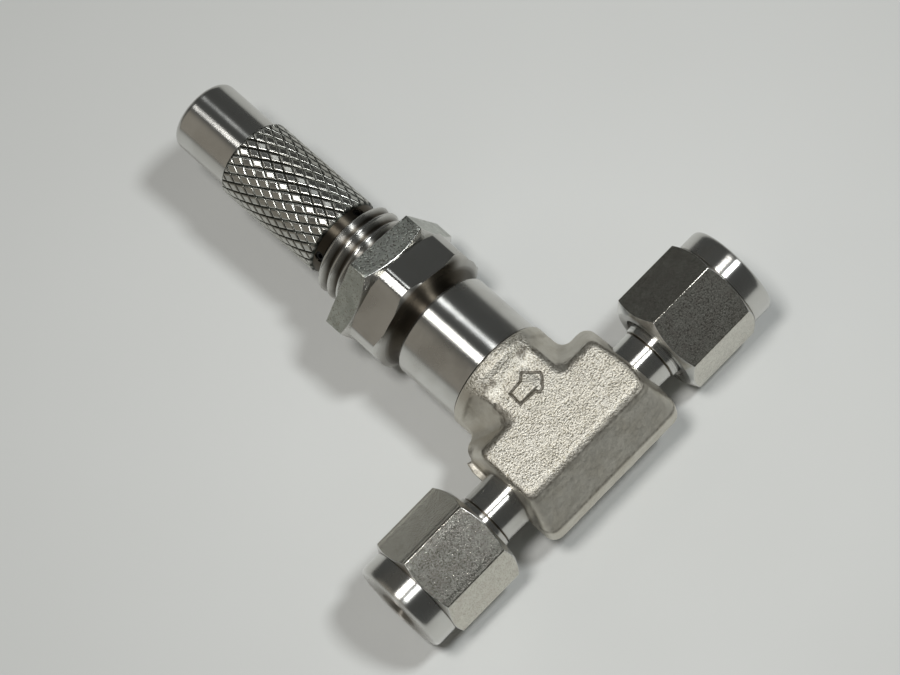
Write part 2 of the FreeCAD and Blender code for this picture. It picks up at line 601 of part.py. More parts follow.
def make_all():
    """Every sub-part by its name."""
    parts = {
        "body": make_body(),
        "bonnet": make_bonnet(),
        "bonnet_gasket": make_bonnet_gasket(),
        "gland_bush": make_gland_bush(),
        "lower_backup_ring": make_backup_ring(GLAND_START),
        "stem_o_ring": make_o_ring(),
        "upper_backup_ring": make_backup_ring(O_RING_END),
        "panel_nut": make_panel_nut(),
        "needle": make_needle(),
        "needle_retainer": make_needle_retainer(),
        "stem": make_stem(),
        "handle": make_handle(),
    }
    for name, direction in SET_SCREW_DIRECTIONS.items():
        parts[name] = make_set_screw(direction)
    for name, side, turn in (("inlet", -1, 180 - INLET_NUT_TURN), ("outlet", 1, OUTLET_NUT_TURN)):
        parts[name + "_nut"] = make_tube_nut(side, turn)
        parts[name + "_front_ferrule"] = make_front_ferrule(side)
        parts[name + "_back_ferrule"] = make_back_ferrule(side)
    return parts


os.makedirs("parts", exist_ok=True)
for part_name, part_shape in make_all().items():
    if not part_shape.isValid():
        raise ValueError(part_name + " isn't a valid solid")
    part_shape.exportStep("parts/" + part_name + ".step")
    print(part_name, len(part_shape.Solids), round(part_shape.Volume, 2))
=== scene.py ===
"""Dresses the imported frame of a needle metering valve: rough forging, turned ends, threads, nuts and knurl.

Pieces are modelled in millimetres about Z, then laid along the stem or the run and scaled to metres.
"""
import math

import bmesh
import bpy
from mathutils import Matrix, Vector, noise


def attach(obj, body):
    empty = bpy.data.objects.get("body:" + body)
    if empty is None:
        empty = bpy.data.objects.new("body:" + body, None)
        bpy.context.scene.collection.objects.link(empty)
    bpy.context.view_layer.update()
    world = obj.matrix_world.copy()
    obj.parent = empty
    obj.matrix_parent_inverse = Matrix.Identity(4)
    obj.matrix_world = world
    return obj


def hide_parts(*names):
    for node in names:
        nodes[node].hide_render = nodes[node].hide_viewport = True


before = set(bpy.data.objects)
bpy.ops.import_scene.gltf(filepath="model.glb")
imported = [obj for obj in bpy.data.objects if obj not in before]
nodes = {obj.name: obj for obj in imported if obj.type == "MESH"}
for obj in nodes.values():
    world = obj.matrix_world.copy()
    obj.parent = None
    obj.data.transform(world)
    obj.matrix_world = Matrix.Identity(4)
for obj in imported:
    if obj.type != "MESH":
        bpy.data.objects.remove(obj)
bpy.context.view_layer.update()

MM = 0.001
RUN_HEIGHT = 5.3
FULL_TURN = 2 * math.pi

# Where pieces made about Z are laid
AT_RUN_HEIGHT = Matrix.Translation((0, 0, RUN_HEIGHT * MM))
TO_METRES = Matrix.Scale(MM, 4)
TO_STEM = Matrix.Rotation(-math.pi / 2, 4, "X")
TO_RUN = Matrix.Rotation(math.pi / 2, 4, "Y")
TO_OTHER_END = Matrix.Rotation(math.pi, 4, "Z")
ON_STEM = AT_RUN_HEIGHT @ TO_STEM @ TO_METRES
ON_OUTLET = AT_RUN_HEIGHT @ TO_RUN @ TO_METRES
ON_INLET = AT_RUN_HEIGHT @ TO_OTHER_END @ TO_RUN @ TO_METRES

# Forging
COLLAR_END = 10.3
INLET_ROOT = 9.45
OUTLET_ROOT = 10.5
PAD_FACE = 2 * RUN_HEIGHT
FORGING_VOXEL = 0.13
FORGING_SMOOTHINGS = 3
FORGING_LUMPS = [(0.55, 0.03), (1.7, 0.02), (4.1, 0.01)]
RUN_FILL_RADIUS = 2.9
NECK_FILL_RADIUS = 5.6
NECK_FILL_START = 4.5
FILL_SHORT = 0.5
COLLAR_RADIUS = 6.55
COLLAR_SWELL = (6.4, 10.1)
COLLAR_BLEND = [6.5, 7.0, 7.5, 8.0, 8.5, 9.0, 9.4, 9.8, 10.1]
COLLAR_CREASE = (7.4, 9.4)
CREASE_FROM_RUN = 4.8
CREASE_SMOOTHINGS = 20
STEM_PAD_SIDE = 3.5
STEM_PARTING_SIDE = 6.5
WAIST_START = 8.0
WAIST_RADIUS = 2.9
WAIST_REACH = 3.6
WAIST_FADE = 0.15
FLASH = [(-9.2, 5.9), (-7.7, 5.3), (-7.7, 3.3), (-9.75, 3.6)]
FLASH_THICKNESS = 0.45
ARROW = [(0.95, 6.77), (2.31, 5.38), (2.19, 4.97), (1.24, 3.97), (0.74, 3.85), (0.55, 4.26), (-1.58, 4.41),
         (-1.49, 6.02), (0.17, 6.07)]
ARROW_GROOVE_WIDTH = 0.2
ARROW_GROOVE_DEPTH = 0.14

# Painted shade on the forging: how strong it is, and where it lies and fades
ARROW_SHADE = 0.65
STUB_SHADE = 0.75
STUB_SHADE_FADE = (3.3, 4.1)
RIM_SHADE = 0.85
RIM_LEAN = 0.76
RIM_SPREAD = 0.19
RIM_BELOW = 1.0
RIM_ABOVE = 1.2
RIM_SHADE_FADE = (7.6, 8.3)
RIDGE_SHADOW = 0.65
RIDGE_START = -5.0
RIDGE_HEIGHT = 1.2
RIDGE_SPREAD = 0.2
NICK = (-8.35, 6.0)
NICK_SHADE = 0.7
NICK_FADE = (0.25, 0.8)
CRESCENT_SHADOWS = [((-2.9, 8.3), 0.7), ((-1.9, 8.05), 0.6), ((2.3, 8.1), 0.7), ((2.9, 8.4), 0.6)]
CRESCENT_SHADOW_STRENGTH = 0.8
STRONGEST_SHADE = 0.8

# Turned neck and tube ends
NECK_RADIUS = 6.3
NECK_END = 19.1
NECK_ROOT = 9.4
NECK_ROOT_RADIUS = 6.0
NECK_GROOVE_RADIUS = NECK_RADIUS - 0.16
NECK_BORE_RADIUS = 4.63
NECK_BORE_FLOOR = 10.6
CHAMBER_RADIUS = 2.1
TUBE_END_START = 8.2
STUB_WAIST = [(8.2, 3.24), (9.2, 3.22), (9.8, 3.19), (10.3, 3.175), (11.3, 3.17), (11.8, 3.18),
              (12.1, 3.21)]
UNDERCUT = (12.22, 12.3)
UNDERCUT_RADIUS = 3.12
UNDERCUT_SHADE_START = 12.18
SHOULDER_START = 12.36
SHOULDER_RADIUS = 3.45
PORT_THREAD_START = 14.0
PORT_THREAD_RADIUS = 3.97
PORT_THREAD_ROOT = PORT_THREAD_RADIUS - 0.62
PORT_THREAD_PITCH = 1.27
PORT_THREAD_CHAMFER = 0.5
PORT_END = 19.4
TUBE_BORE_RADIUS = 1.6175
TUBE_STOP = 12.6
PASSAGE_RADIUS = 1.15
PASSAGE_START = 8.8
CONE_MOUTH_RADIUS = 2.45
CONE_LENGTH = 3.92

# Tube nuts
NUT_FLATS = 11.11
NUT_START = 13.1
NUT_HEX_END = 22.5
NUT_END = 25.25
NUT_MOUTH_RADIUS = 4.06
NUT_THREAD_RADIUS = 4.0
NUT_ROUND_RADIUS = 5.55
NUT_GROOVE_RADIUS = NUT_ROUND_RADIUS - 0.07
NUT_FACE_RADIUS = 5.165
NUT_BORE_RADIUS = 1.6375
NUT_BORE_MOUTH_RADIUS = 2.35
FERRULE_BORE_RADIUS = 2.88
FERRULE_BORE_START = 20.43
FERRULE_SEAT = 22.36
INLET_NUT_TURN = 158.0
OUTLET_NUT_TURN = 31.0
INLET_NUT_CORNER = 0.42
OUTLET_NUT_CORNER = 0.15
CHAMFER_SLOPE = math.tan(math.radians(30))
UNTURNED = 9.0

# Bonnet and panel nut
BONNET_FOOT = 11.9
FOOT_RADIUS = 4.6
SEAL_BORE_RADIUS = 2.58
SEAL_STOP = 14.5
NEEDLE_BORE_RADIUS = 1.54
STEM_STOP = 16.05
STEM_BORE_RADIUS = 3.155
STEM_BORE_CHAMFER = 0.15
HEX_START = 20.5
HEX_END = 24.8
HEX_BACK_RADIUS = 6.7
HEX_INSIDE_RADIUS = 4.5
BONNET_END = 32.25
BONNET_CORE_RADIUS = 4.4
RELIEF_RADIUS = 5.3
RELIEF_HOLLOW = [(19.35, 5.12), (19.6, 5.08), (19.85, 5.16), (20.05, 5.36), (20.25, 5.72), (20.4, 6.15),
                 (20.48, 6.5)]
BONNET_TURNED_RADIUS = 7.85
BONNET_FACE_RADIUS = 7.4
BONNET_TURN = -40.0
PANEL_FLATS = 14.29
PANEL_THREAD_RADIUS = 5.555
PANEL_THREAD_ROOT = 4.86
PANEL_THREAD_PITCH = 1.33
PANEL_THREAD_CHAMFER = 0.2
PANEL_CREST_ANGLE = -95.0
PANEL_CREST_HEIGHT = 30.72
PANEL_NUT_START = 24.88
PANEL_NUT_END = 27.93
PANEL_NUT_BORE_RADIUS = PANEL_THREAD_RADIUS + 0.03
PANEL_NUT_BORE_CHAMFER = 0.4
PANEL_NUT_FACE_RADIUS = 6.9
PANEL_NUT_TURN = -50.5

# Handle
BAND_START = 32.55
BAND_RADIUS = 4.45
BAND_CHAMFER = 0.25
KNURL_START = 33.85
KNURL_END = 48.2
KNURL_RADIUS = 4.81
KNURL_GROOVES = 25
KNURL_REPEAT = 2.04
KNURL_DEPTH = 0.2
KNURL_EASE = 0.045
KNURL_FIRST_CHAMFER = 0.3
KNURL_FIRST_SLOPE = 1.2
KNURL_LAST_CHAMFER = 0.45
MAIN_GROOVE_STEPS = (0.0, 0.065, 0.13, 0.195, 0.26, 0.285, 0.5, 0.715, 0.74, 0.805, 0.87, 0.935)
CROSS_GROOVE_STEPS = (0.0, 0.05, 0.095, 0.145, 0.19, 0.215, 0.5, 0.785, 0.81, 0.855, 0.905, 0.95)
CROSS_GROOVE_DEPTH = 0.12
LAND_FLATNESS = 1.0
TIP_RADIUS = 4.3
TIP_END = 56.1
TIP_ROUNDING = 0.8
TIP_ARC = [(0.617, 0.076), (0.293, 0.293), (0.076, 0.617)]
SHANK_RADIUS = 2.4
SET_SCREW_HEIGHT = 33.2
SET_SCREW_HOLE_RADIUS = 0.62
SET_SCREW_HOLE_MIDDLE = 4.2
SET_SCREW_DRILL_LENGTH = 4.0
SET_SCREW_DIRECTIONS = (55.0, 145.0)

# Columns of a turned piece, and of a hexagon with its corners slightly rounded
ROUND_COLUMNS = [2.5 * k for k in range(144)]
CORNER_COLUMNS = [0.0, 0.33, 0.67, 1.5, 3.0, 5.0, 7.5, 10.0, 12.5, 15.0, 17.5, 20.0, 22.5, 25.0, 27.5]


def spun(profile, columns, place, closed=False):
    """Sweeps a profile about Z and sets each vertex by place(point, angle), then rounds the marked rims."""
    bm = bmesh.new()
    line = [bm.verts.new((1, 0, k)) for k in range(len(profile))]
    for k in range(len(line) - 1):
        bm.edges.new(line[k:k + 2])
    if closed:
        bm.edges.new((line[-1], line[0]))
    bmesh.ops.spin(bm, geom=bm.verts[:] + bm.edges[:], cent=(0, 0, 0), axis=(0, 0, 1), dvec=(0, 0, 0),
                   angle=FULL_TURN, steps=len(columns), use_merge=True)
    rims = {}
    for edge in bm.edges:
        levels = {round(vert.co.z) for vert in edge.verts}
        if len(levels) == 1:
            rims.setdefault(profile[levels.pop()][2], []).append(edge)
    for vert in bm.verts:
        step = math.atan2(vert.co.y, vert.co.x) / FULL_TURN * len(columns)
        angle = math.radians(columns[round(step) % len(columns)])
        height, radius = place(profile[round(vert.co.z)], angle)
        vert.co = (radius * math.cos(angle), radius * math.sin(angle), height)
    for rounding in sorted(rims):
        if rounding > 0:
            bmesh.ops.bevel(bm, geom=rims[rounding], offset=rounding, offset_type="OFFSET", segments=3,
                            profile=0.5, affect="EDGES", material=-1, clamp_overlap=True)
    bmesh.ops.remove_doubles(bm, verts=bm.verts[:], dist=1e-5)
    bmesh.ops.recalc_face_normals(bm, faces=bm.faces[:])
    return bm


def turned(profile, closed=False):
    """Turned shape from (height, radius, rounding) points."""
    return spun(profile, ROUND_COLUMNS, lambda point, angle: point[:2], closed)


def hexagon_radius(from_corner, across_flats, rounding):
    """Radius of a hexagon with rounded corners, at an angle from its nearest corner."""
    centre = (across_flats / 2 - rounding) / math.cos(math.pi / 6)
    flat = across_flats / 2 / math.cos(math.pi / 6 - from_corner)
    inside = rounding ** 2 - (centre * math.sin(from_corner)) ** 2
    if inside <= 0:
        return flat
    return min(flat, centre * math.cos(from_corner) + math.sqrt(inside))


def hexagonal(profile, across_flats, turn, envelope, corner_rounding=0.15):
    """Turned and milled shape from (height, radius, rounding, end) points, closed through its bore.

    At end -1 or 1 a point lies where a flat meets that end's chamfer, and its radius is the end face's.
    At end 2 it lies on the end face itself, cut off by the flats, and at end 0 it is plainly turned.
    """
    columns = []
    for corner in range(6):
        columns += [corner * 60 + offset for offset in CORNER_COLUMNS]
        columns += [corner * 60 + 30]
        columns += [corner * 60 + 60 - offset for offset in reversed(CORNER_COLUMNS[1:])]
    columns = [turn + column for column in columns]

    def place(point, angle):
        height, radius, rounding, end = point
        if end == 0:
            return height, radius
        past_corner = (math.degrees(angle) - turn) % 60
        from_corner = math.radians(min(past_corner, 60 - past_corner))
        flat = min(hexagon_radius(from_corner, across_flats, corner_rounding), envelope)
        if end == 2:
            return height, min(flat, radius)
        return height - end * max(0, flat - radius) * CHAMFER_SLOPE, flat

    bm = spun(profile, columns, place, closed=True)
    bm.normal_update()
    return bm


def cut(bm, place, way, near=1e-5, clear=True):
    """Cuts a bmesh by a plane and clears what lies beyond it, on the side that way points to."""
    bmesh.ops.bisect_plane(bm, geom=bm.verts[:] + bm.edges[:] + bm.faces[:], dist=near, plane_co=place,
                           plane_no=way, clear_outer=clear)


def helix(start, end, crest_radius, root_radius, pitch, crest_angle, crest_height):
    """Outside of a right-hand thread between two heights, open at both ends."""
    bm = bmesh.new()
    steps = 72
    angle = math.radians(crest_angle)
    low = crest_height - pitch * math.ceil((crest_height - start) / pitch + 1)
    turns = math.ceil((end - low) / pitch) + 1
    ease = (crest_radius - root_radius) * 0.06
    half = [(0.05, crest_radius), (0.1, crest_radius - ease), (0.41, root_radius + ease), (0.5, root_radius)]
    shape = [(-along, radius) for along, radius in reversed(half)] + half
    line = [bm.verts.new((radius * math.cos(angle), radius * math.sin(angle), low + along * pitch))
            for along, radius in shape]
    for k in range(len(line) - 1):
        bm.edges.new(line[k:k + 2])
    bmesh.ops.spin(bm, geom=bm.verts[:] + bm.edges[:], cent=(0, 0, 0), axis=(0, 0, 1),
                   dvec=(0, 0, pitch / steps), angle=FULL_TURN * turns, steps=steps * turns)
    bmesh.ops.remove_doubles(bm, verts=bm.verts[:], dist=1e-4)
    for height, way in ((start, -1), (end, 1)):
        cut(bm, (0, 0, height), (0, 0, way))
    return bm


def limit_radius(bm, limit):
    """Turns a bmesh about Z down to limit(height)."""
    for vert in bm.verts:
        radius = math.hypot(vert.co.x, vert.co.y)
        share = min(1, limit(vert.co.z) / radius)
        vert.co.x *= share
        vert.co.y *= share


def rim_at(bm, height):
    """Open edges of a bmesh at one height."""
    return [edge for edge in bm.edges
            if edge.is_boundary and all(abs(vert.co.z - height) < 1e-3 for vert in edge.verts)]


def close_inwards(bm, start, end, radius):
    """Closes an outside that is open at both heights with two end rings and a wall at a smaller radius."""
    walls = []
    for height in (start, end):
        made = bmesh.ops.extrude_edge_only(bm, edges=rim_at(bm, height))["geom"]
        for vert in [item for item in made if isinstance(item, bmesh.types.BMVert)]:
            share = radius / math.hypot(vert.co.x, vert.co.y)
            vert.co.x *= share
            vert.co.y *= share
        walls += [item for item in made if isinstance(item, bmesh.types.BMEdge) and item.is_boundary]
    bmesh.ops.bridge_loops(bm, edges=walls)
    bmesh.ops.recalc_face_normals(bm, faces=bm.faces[:])


def threaded(start, end, crest_radius, root_radius, pitch, chamfer, inner,
             crest_angle=0.0, crest_height=0.0):
    """Closed sleeve with a thread on its outside and a chamfer at its far end."""
    bm = helix(start, end, crest_radius, root_radius, pitch, crest_angle, crest_height)
    limit_radius(bm, lambda height: crest_radius - max(0, chamfer - (end - height)))
    close_inwards(bm, start, end, inner)
    return bm


def smooth_step(start, end, value):
    """Eases from 0 at start to 1 at end."""
    share = min(1, max(0, (value - start) / (end - start)))
    return share * share * (3 - 2 * share)


def with_painted_shade(bm, share_of_vertex):
    """Writes how much painted shade each vertex gets, in grooves, recesses and other shaded places, for the
    materials.
    """
    painted_shade = bm.verts.layers.float.get("painted_shade") or bm.verts.layers.float.new("painted_shade")
    for vert in bm.verts:
        vert[painted_shade] = share_of_vertex(vert)
    return bm


def joined(*shells):
    """One bmesh from several closed shells."""
    whole = bmesh.new()
    for shell in shells:
        mesh = bpy.data.meshes.new("shell")
        shell.to_mesh(mesh)
        shell.free()
        whole.from_mesh(mesh)
        bpy.data.meshes.remove(mesh)
    return whole


def painted(bm, slot_of_face):
    """Gives each face the material slot that slot_of_face(face) says."""
    bm.normal_update()
    for face in bm.faces:
        face.material_index = slot_of_face(face)
    return bm


def piece(name, bm, laid, materials, body, replaced, sharp=38):
    """Makes the finished object, in its place, and hands it to the frame."""
    bmesh.ops.transform(bm, matrix=laid, verts=bm.verts[:])
    mesh = bpy.data.meshes.new(name)
    bm.to_mesh(mesh)
    bm.free()
    for material in materials:
        mesh.materials.append(material)
    mesh.shade_smooth()
    mesh.set_sharp_from_angle(angle=math.radians(sharp))
    made = bpy.data.objects.new(name, mesh)
    bpy.context.scene.collection.objects.link(made)
    even = made.modifiers.new("even shading", "WEIGHTED_NORMAL")
    even.keep_sharp = True
    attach(made, body)
    if replaced:
        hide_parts(replaced)
    return made


def with_modifier(bm, kind, helper=None, **settings):
    """Bmesh after one modifier, with a helper bmesh as the modifier's other object."""
    scratch = []
    for shape in (bm, helper):
        if shape is not None:
            mesh = bpy.data.meshes.new("scratch")
            shape.to_mesh(mesh)
            shape.free()
            scratch.append(bpy.data.objects.new("scratch", mesh))
            bpy.context.scene.collection.objects.link(scratch[-1])
    modifier = scratch[0].modifiers.new("scratch", kind)
    for setting, value in settings.items():
        setattr(modifier, setting, value)
    if helper is not None:
        modifier.object = scratch[1]
    finished = scratch[0].evaluated_get(bpy.context.evaluated_depsgraph_get()).to_mesh()
    result = bmesh.new()
    result.from_mesh(finished)
    for scrap in scratch:
        mesh = scrap.data
        bpy.data.objects.remove(scrap)
        bpy.data.meshes.remove(mesh)
    return result


# Shader effects that several finishes share
def effect(name, inputs, outputs):
    """Empty node group with named sockets, and its input and output nodes."""
    tree = bpy.data.node_groups.new(name, "ShaderNodeTree")
    for label, kind, value in inputs:
        socket = tree.interface.new_socket(label, in_out="INPUT", socket_type=kind)
        if value is not None:
            socket.default_value = value
    for label, kind in outputs:
        tree.interface.new_socket(label, in_out="OUTPUT", socket_type=kind)
    return tree, tree.nodes.new("NodeGroupInput"), tree.nodes.new("NodeGroupOutput")


def add(tree, kind, settings=None, **sockets):
    """Adds a node, sets its options and fills its inputs with values or with other nodes' sockets.

    An input is given by its name, with _ for a space, or as _0, _1 and so on by its place.
    """
    node = tree.nodes.new(kind)
    for setting, value in (settings or {}).items():
        setattr(node, setting, value)
    for label, value in sockets.items():
        by_number = label[1:].isdigit()
        socket = node.inputs[int(label[1:]) if by_number else label.replace("_", " ")]
        if isinstance(value, bpy.types.NodeSocket):
            tree.links.new(value, socket)
        else:
            socket.default_value = value
    return node


def make_grain_effect():
    """Blasted or sawn grain: a bump with its hollows as a mask."""
    tree, given, out = effect("metal grain", [
        ("Place", "NodeSocketVector", None), ("Grain per metre", "NodeSocketFloat", 5000.0),
        ("Height", "NodeSocketFloat", 0.5), ("Under", "NodeSocketVector", None)],
        [("Normal", "NodeSocketVector"), ("Hollows", "NodeSocketFloat")])
    tree.interface.items_tree["Under"].hide_value = True
    fine = add(tree, "ShaderNodeTexNoise", Vector=given.outputs["Place"],
               Scale=given.outputs["Grain per metre"], Detail=2.0, Roughness=0.6)
    bump = add(tree, "ShaderNodeBump", Strength=given.outputs["Height"], Distance=0.0001,
               Height=fine.outputs["Fac"], Normal=given.outputs["Under"])
    tree.links.new(bump.outputs["Normal"], out.inputs["Normal"])
    tree.links.new(fine.outputs["Fac"], out.inputs["Hollows"])
    return tree


def make_tool_mark_effect():
    """Fine rings that a turning tool leaves, across the axis of the piece."""
    tree, given, out = effect("tool marks", [
        ("Along", "NodeSocketFloat", 0.0), ("Marks per metre", "NodeSocketFloat", 6000.0),
        ("Height", "NodeSocketFloat", 0.2)],
        [("Normal", "NodeSocketVector"), ("Rings", "NodeSocketFloat")])
    rings = add(tree, "ShaderNodeTexNoise", {"noise_dimensions": "1D"}, W=given.outputs["Along"],
                Scale=given.outputs["Marks per metre"], Detail=3.0, Roughness=0.7)
    bump = add(tree, "ShaderNodeBump", Strength=given.outputs["Height"], Distance=0.00005,
               Height=rings.outputs["Fac"])
    tree.links.new(bump.outputs["Normal"], out.inputs["Normal"])
    tree.links.new(rings.outputs["Fac"], out.inputs["Rings"])
    return tree


def make_tarnish_effect():
    """Cloudy patches between a clean and a dull colour."""
    tree, given, out = effect("tarnish", [
        ("Place", "NodeSocketVector", None), ("Patches per metre", "NodeSocketFloat", 300.0),
        ("Clean", "NodeSocketColor", (0.6, 0.6, 0.6, 1)), ("Dull", "NodeSocketColor", (0.5, 0.5, 0.5, 1))],
        [("Color", "NodeSocketColor"), ("Patches", "NodeSocketFloat")])
    clouds = add(tree, "ShaderNodeTexNoise", Vector=given.outputs["Place"],
                 Scale=given.outputs["Patches per metre"], Detail=4.0, Roughness=0.55)
    share = add(tree, "ShaderNodeMapRange", {"interpolation_type": "SMOOTHSTEP"},
                Value=clouds.outputs["Fac"], From_Min=0.35, From_Max=0.7)
    mix = add(tree, "ShaderNodeMix", {"data_type": "RGBA"}, Factor=share.outputs["Result"])
    tree.links.new(given.outputs["Clean"], mix.inputs[6])
    tree.links.new(given.outputs["Dull"], mix.inputs[7])
    tree.links.new(mix.outputs[2], out.inputs["Color"])
    tree.links.new(share.outputs["Result"], out.inputs["Patches"])
    return tree


GRAIN = make_grain_effect()
TOOL_MARKS = make_tool_mark_effect()
TARNISH = make_tarnish_effect()


def new_material(name):
    """Material with its tree, its Principled shader and the object's coordinates."""
    material = bpy.data.materials.new(name)
    material.use_nodes = True
    tree = material.node_tree
    shader = tree.nodes["Principled BSDF"]
    place = tree.nodes.new("ShaderNodeTexCoord").outputs["Object"]
    return material, tree, shader, place


def place_effect(tree, group, **sockets):
    """Puts a shared effect in a material."""
    return add(tree, "ShaderNodeGroup", {"node_tree": group}, **sockets)


def tint(tree, shader, place, clean, dull, patches):
    """Colours a shader with cloudy tarnish and returns the patches."""
    tarnish = place_effect(tree, TARNISH, Place=place, Clean=(*clean, 1), Dull=(*dull, 1),
                           Patches_per_metre=patches)
    tree.links.new(tarnish.outputs["Color"], shader.inputs["Base Color"])
    return tarnish.outputs["Patches"]


def spread(tree, value, low, high, target=None, start=0.0, end=1.0):
    """Spreads a mask between two values, for a shader's socket or for another node."""
    ranged = add(tree, "ShaderNodeMapRange", Value=value, From_Min=start, From_Max=end,
                 To_Min=low, To_Max=high)
    if target is not None:
        tree.links.new(ranged.outputs["Result"], target)
    return ranged.outputs["Result"]


def darken(tree, shader, share, dark):
    """Mixes a dark colour into a shader's colour by a mask."""
    colour = shader.inputs["Base Color"].links[0].from_socket
    mix = add(tree, "ShaderNodeMix", {"data_type": "RGBA"}, Factor=share)
    tree.links.new(colour, mix.inputs[6])
    mix.inputs[7].default_value = (*dark, 1)
    tree.links.new(mix.outputs[2], shader.inputs["Base Color"])


def darken_painted_shade(tree, shader, dark, rough):
    """Mixes a dark colour of painted shade into the colour, and roughness, where the piece's painted shade
    attribute is.
    """
    painted_shade = add(tree, "ShaderNodeAttribute", {"attribute_name": "painted_shade"}).outputs["Fac"]
    darken(tree, shader, painted_shade, dark)
    clean_rough = shader.inputs["Roughness"].links[0].from_socket
    blend = add(tree, "ShaderNodeMix", Factor=painted_shade, B=rough)
    tree.links.new(clean_rough, blend.inputs["A"])
    tree.links.new(blend.outputs["Result"], shader.inputs["Roughness"])


def make_turned_steel(name, axis, clean, dull, rough, marks, height, dark=(0.055, 0.05, 0.042)):
    """Bright turned steel, its rings across the stem (axis Y) or the run (axis X)."""
    material, tree, shader, place = new_material(name)
    shader.inputs["Metallic"].default_value = 1.0
    shader.inputs["Anisotropic"].default_value = 1.0
    shader.inputs["Anisotropic Rotation"].default_value = 0.25
    patches = tint(tree, shader, place, clean, dull, 220.0)
    split = add(tree, "ShaderNodeSeparateXYZ", Vector=place)
    rings = place_effect(tree, TOOL_MARKS, Along=split.outputs[axis], Marks_per_metre=marks, Height=height)
    tree.links.new(rings.outputs["Normal"], shader.inputs["Normal"])
    spread(tree, patches, rough, rough * 1.35, shader.inputs["Roughness"])
    # painted shade: the dark colour goes into grooves and recesses by the per-vertex shade attribute
    darken_painted_shade(tree, shader, dark, 0.5)
    from_axis = add(tree, "ShaderNodeVectorMath", {"operation": "SUBTRACT"}, _0=place,
                    _1=(0, 0, RUN_HEIGHT * MM))
    axle = (0, 1, 0) if axis == "Y" else (1, 0, 0)
    around = add(tree, "ShaderNodeVectorMath", {"operation": "CROSS_PRODUCT"},
                 _0=from_axis.outputs["Vector"], _1=axle)
    turned_way = add(tree, "ShaderNodeVectorTransform",
                     {"vector_type": "VECTOR", "convert_from": "OBJECT", "convert_to": "WORLD"},
                     Vector=around.outputs["Vector"])
    level = add(tree, "ShaderNodeVectorMath", {"operation": "NORMALIZE"}, _0=turned_way.outputs["Vector"])
    tree.links.new(level.outputs["Vector"], shader.inputs["Tangent"])
    return material


def make_forged_steel():
    """Blasted forging: sparkling grain on the pads, smoother drafted sides with fine die streaks."""
    material, tree, shader, place = new_material("blasted forging")
    shader.inputs["Metallic"].default_value = 1.0
    tint(tree, shader, place, (0.64, 0.615, 0.55), (0.57, 0.54, 0.47), 520.0)
    split = add(tree, "ShaderNodeSeparateXYZ", Vector=place)
    from_middle = add(tree, "ShaderNodeMath", {"operation": "SUBTRACT"}, _0=split.outputs["Z"],
                      _1=RUN_HEIGHT * MM)
    up = add(tree, "ShaderNodeMath", {"operation": "ABSOLUTE"}, _0=from_middle.outputs[0])
    pads = add(tree, "ShaderNodeMapRange", {"interpolation_type": "SMOOTHSTEP"}, Value=up.outputs[0],
               From_Min=0.0048, From_Max=0.0052, To_Min=0.0, To_Max=1.0)
    rise = spread(tree, pads.outputs["Result"], 0.12, 1.1)
    grain = place_effect(tree, GRAIN, Place=place, Grain_per_metre=4700.0, Height=rise)
    streak_place = add(tree, "ShaderNodeMapping", Vector=place, Scale=(1.0, 1.0, 0.12))
    streaks = place_effect(tree, GRAIN, Place=streak_place.outputs["Vector"], Grain_per_metre=2600.0,
                           Height=0.1)
    tree.links.new(streaks.outputs["Normal"], grain.inputs["Under"])
    tree.links.new(grain.outputs["Normal"], shader.inputs["Normal"])
    spread(tree, grain.outputs["Hollows"], 0.38, 0.56, shader.inputs["Roughness"], 0.3, 0.7)
    pitted = spread(tree, grain.outputs["Hollows"], 0.0, 0.85, start=0.5, end=0.36)
    pits = add(tree, "ShaderNodeMath", {"operation": "MULTIPLY"}, _0=pitted, _1=pads.outputs["Result"])
    darken(tree, shader, pits.outputs[0], (0.26, 0.235, 0.175))
    # painted shade colour for the arrow groove, stub roots, rims, ridge and dents
    darken_painted_shade(tree, shader, (0.1, 0.085, 0.065), 0.6)
    return material


def make_nut_flats(name, clean, dull, smoothest, roughest, grain_per_metre, height):
    """Satin flats of drawn hexagon bar, speckled and lightly scratched."""
    material, tree, shader, place = new_material(name)
    shader.inputs["Metallic"].default_value = 1.0
    tint(tree, shader, place, clean, dull, 900.0)
    grain = place_effect(tree, GRAIN, Place=place, Grain_per_metre=grain_per_metre, Height=height)
    tree.links.new(grain.outputs["Normal"], shader.inputs["Normal"])
    spread(tree, grain.outputs["Hollows"], smoothest, roughest, shader.inputs["Roughness"], 0.3, 0.7)
    specks = spread(tree, grain.outputs["Hollows"], 0.0, 0.7, start=0.5, end=0.36)
    darken(tree, shader, specks, (0.3, 0.29, 0.24))
    return material


def make_plain(name, clean, dull, rough):
    """Matt soft material of the hidden seals."""
    material, tree, shader, place = new_material(name)
    patches = tint(tree, shader, place, clean, dull, 900.0)
    spread(tree, patches, rough, rough + 0.15, shader.inputs["Roughness"])
    grain = place_effect(tree, GRAIN, Place=place, Grain_per_metre=9000.0, Height=0.1)
    tree.links.new(grain.outputs["Normal"], shader.inputs["Normal"])
    return material


BRIGHT_STEEL = ((0.64, 0.635, 0.61), (0.57, 0.56, 0.53))
FORGED = make_forged_steel()
FLATS = make_nut_flats("drawn bar flats", (0.65, 0.635, 0.565), (0.58, 0.55, 0.49), 0.15, 0.24, 6200.0, 0.2)
SAWN_FLATS = make_nut_flats("sawn bar flats", (0.5, 0.52, 0.48), (0.38, 0.395, 0.36),
                            0.25, 0.36, 5200.0, 0.5)
# painted shade: the set screws are near black so that their holes in the band read as shaded
SCREW_BLACK = make_turned_steel("near-black screw for hole shade", "Y", (0.05, 0.047, 0.045), (0.04, 0.04, 0.04),
                                0.4, 3000.0, 0.1)
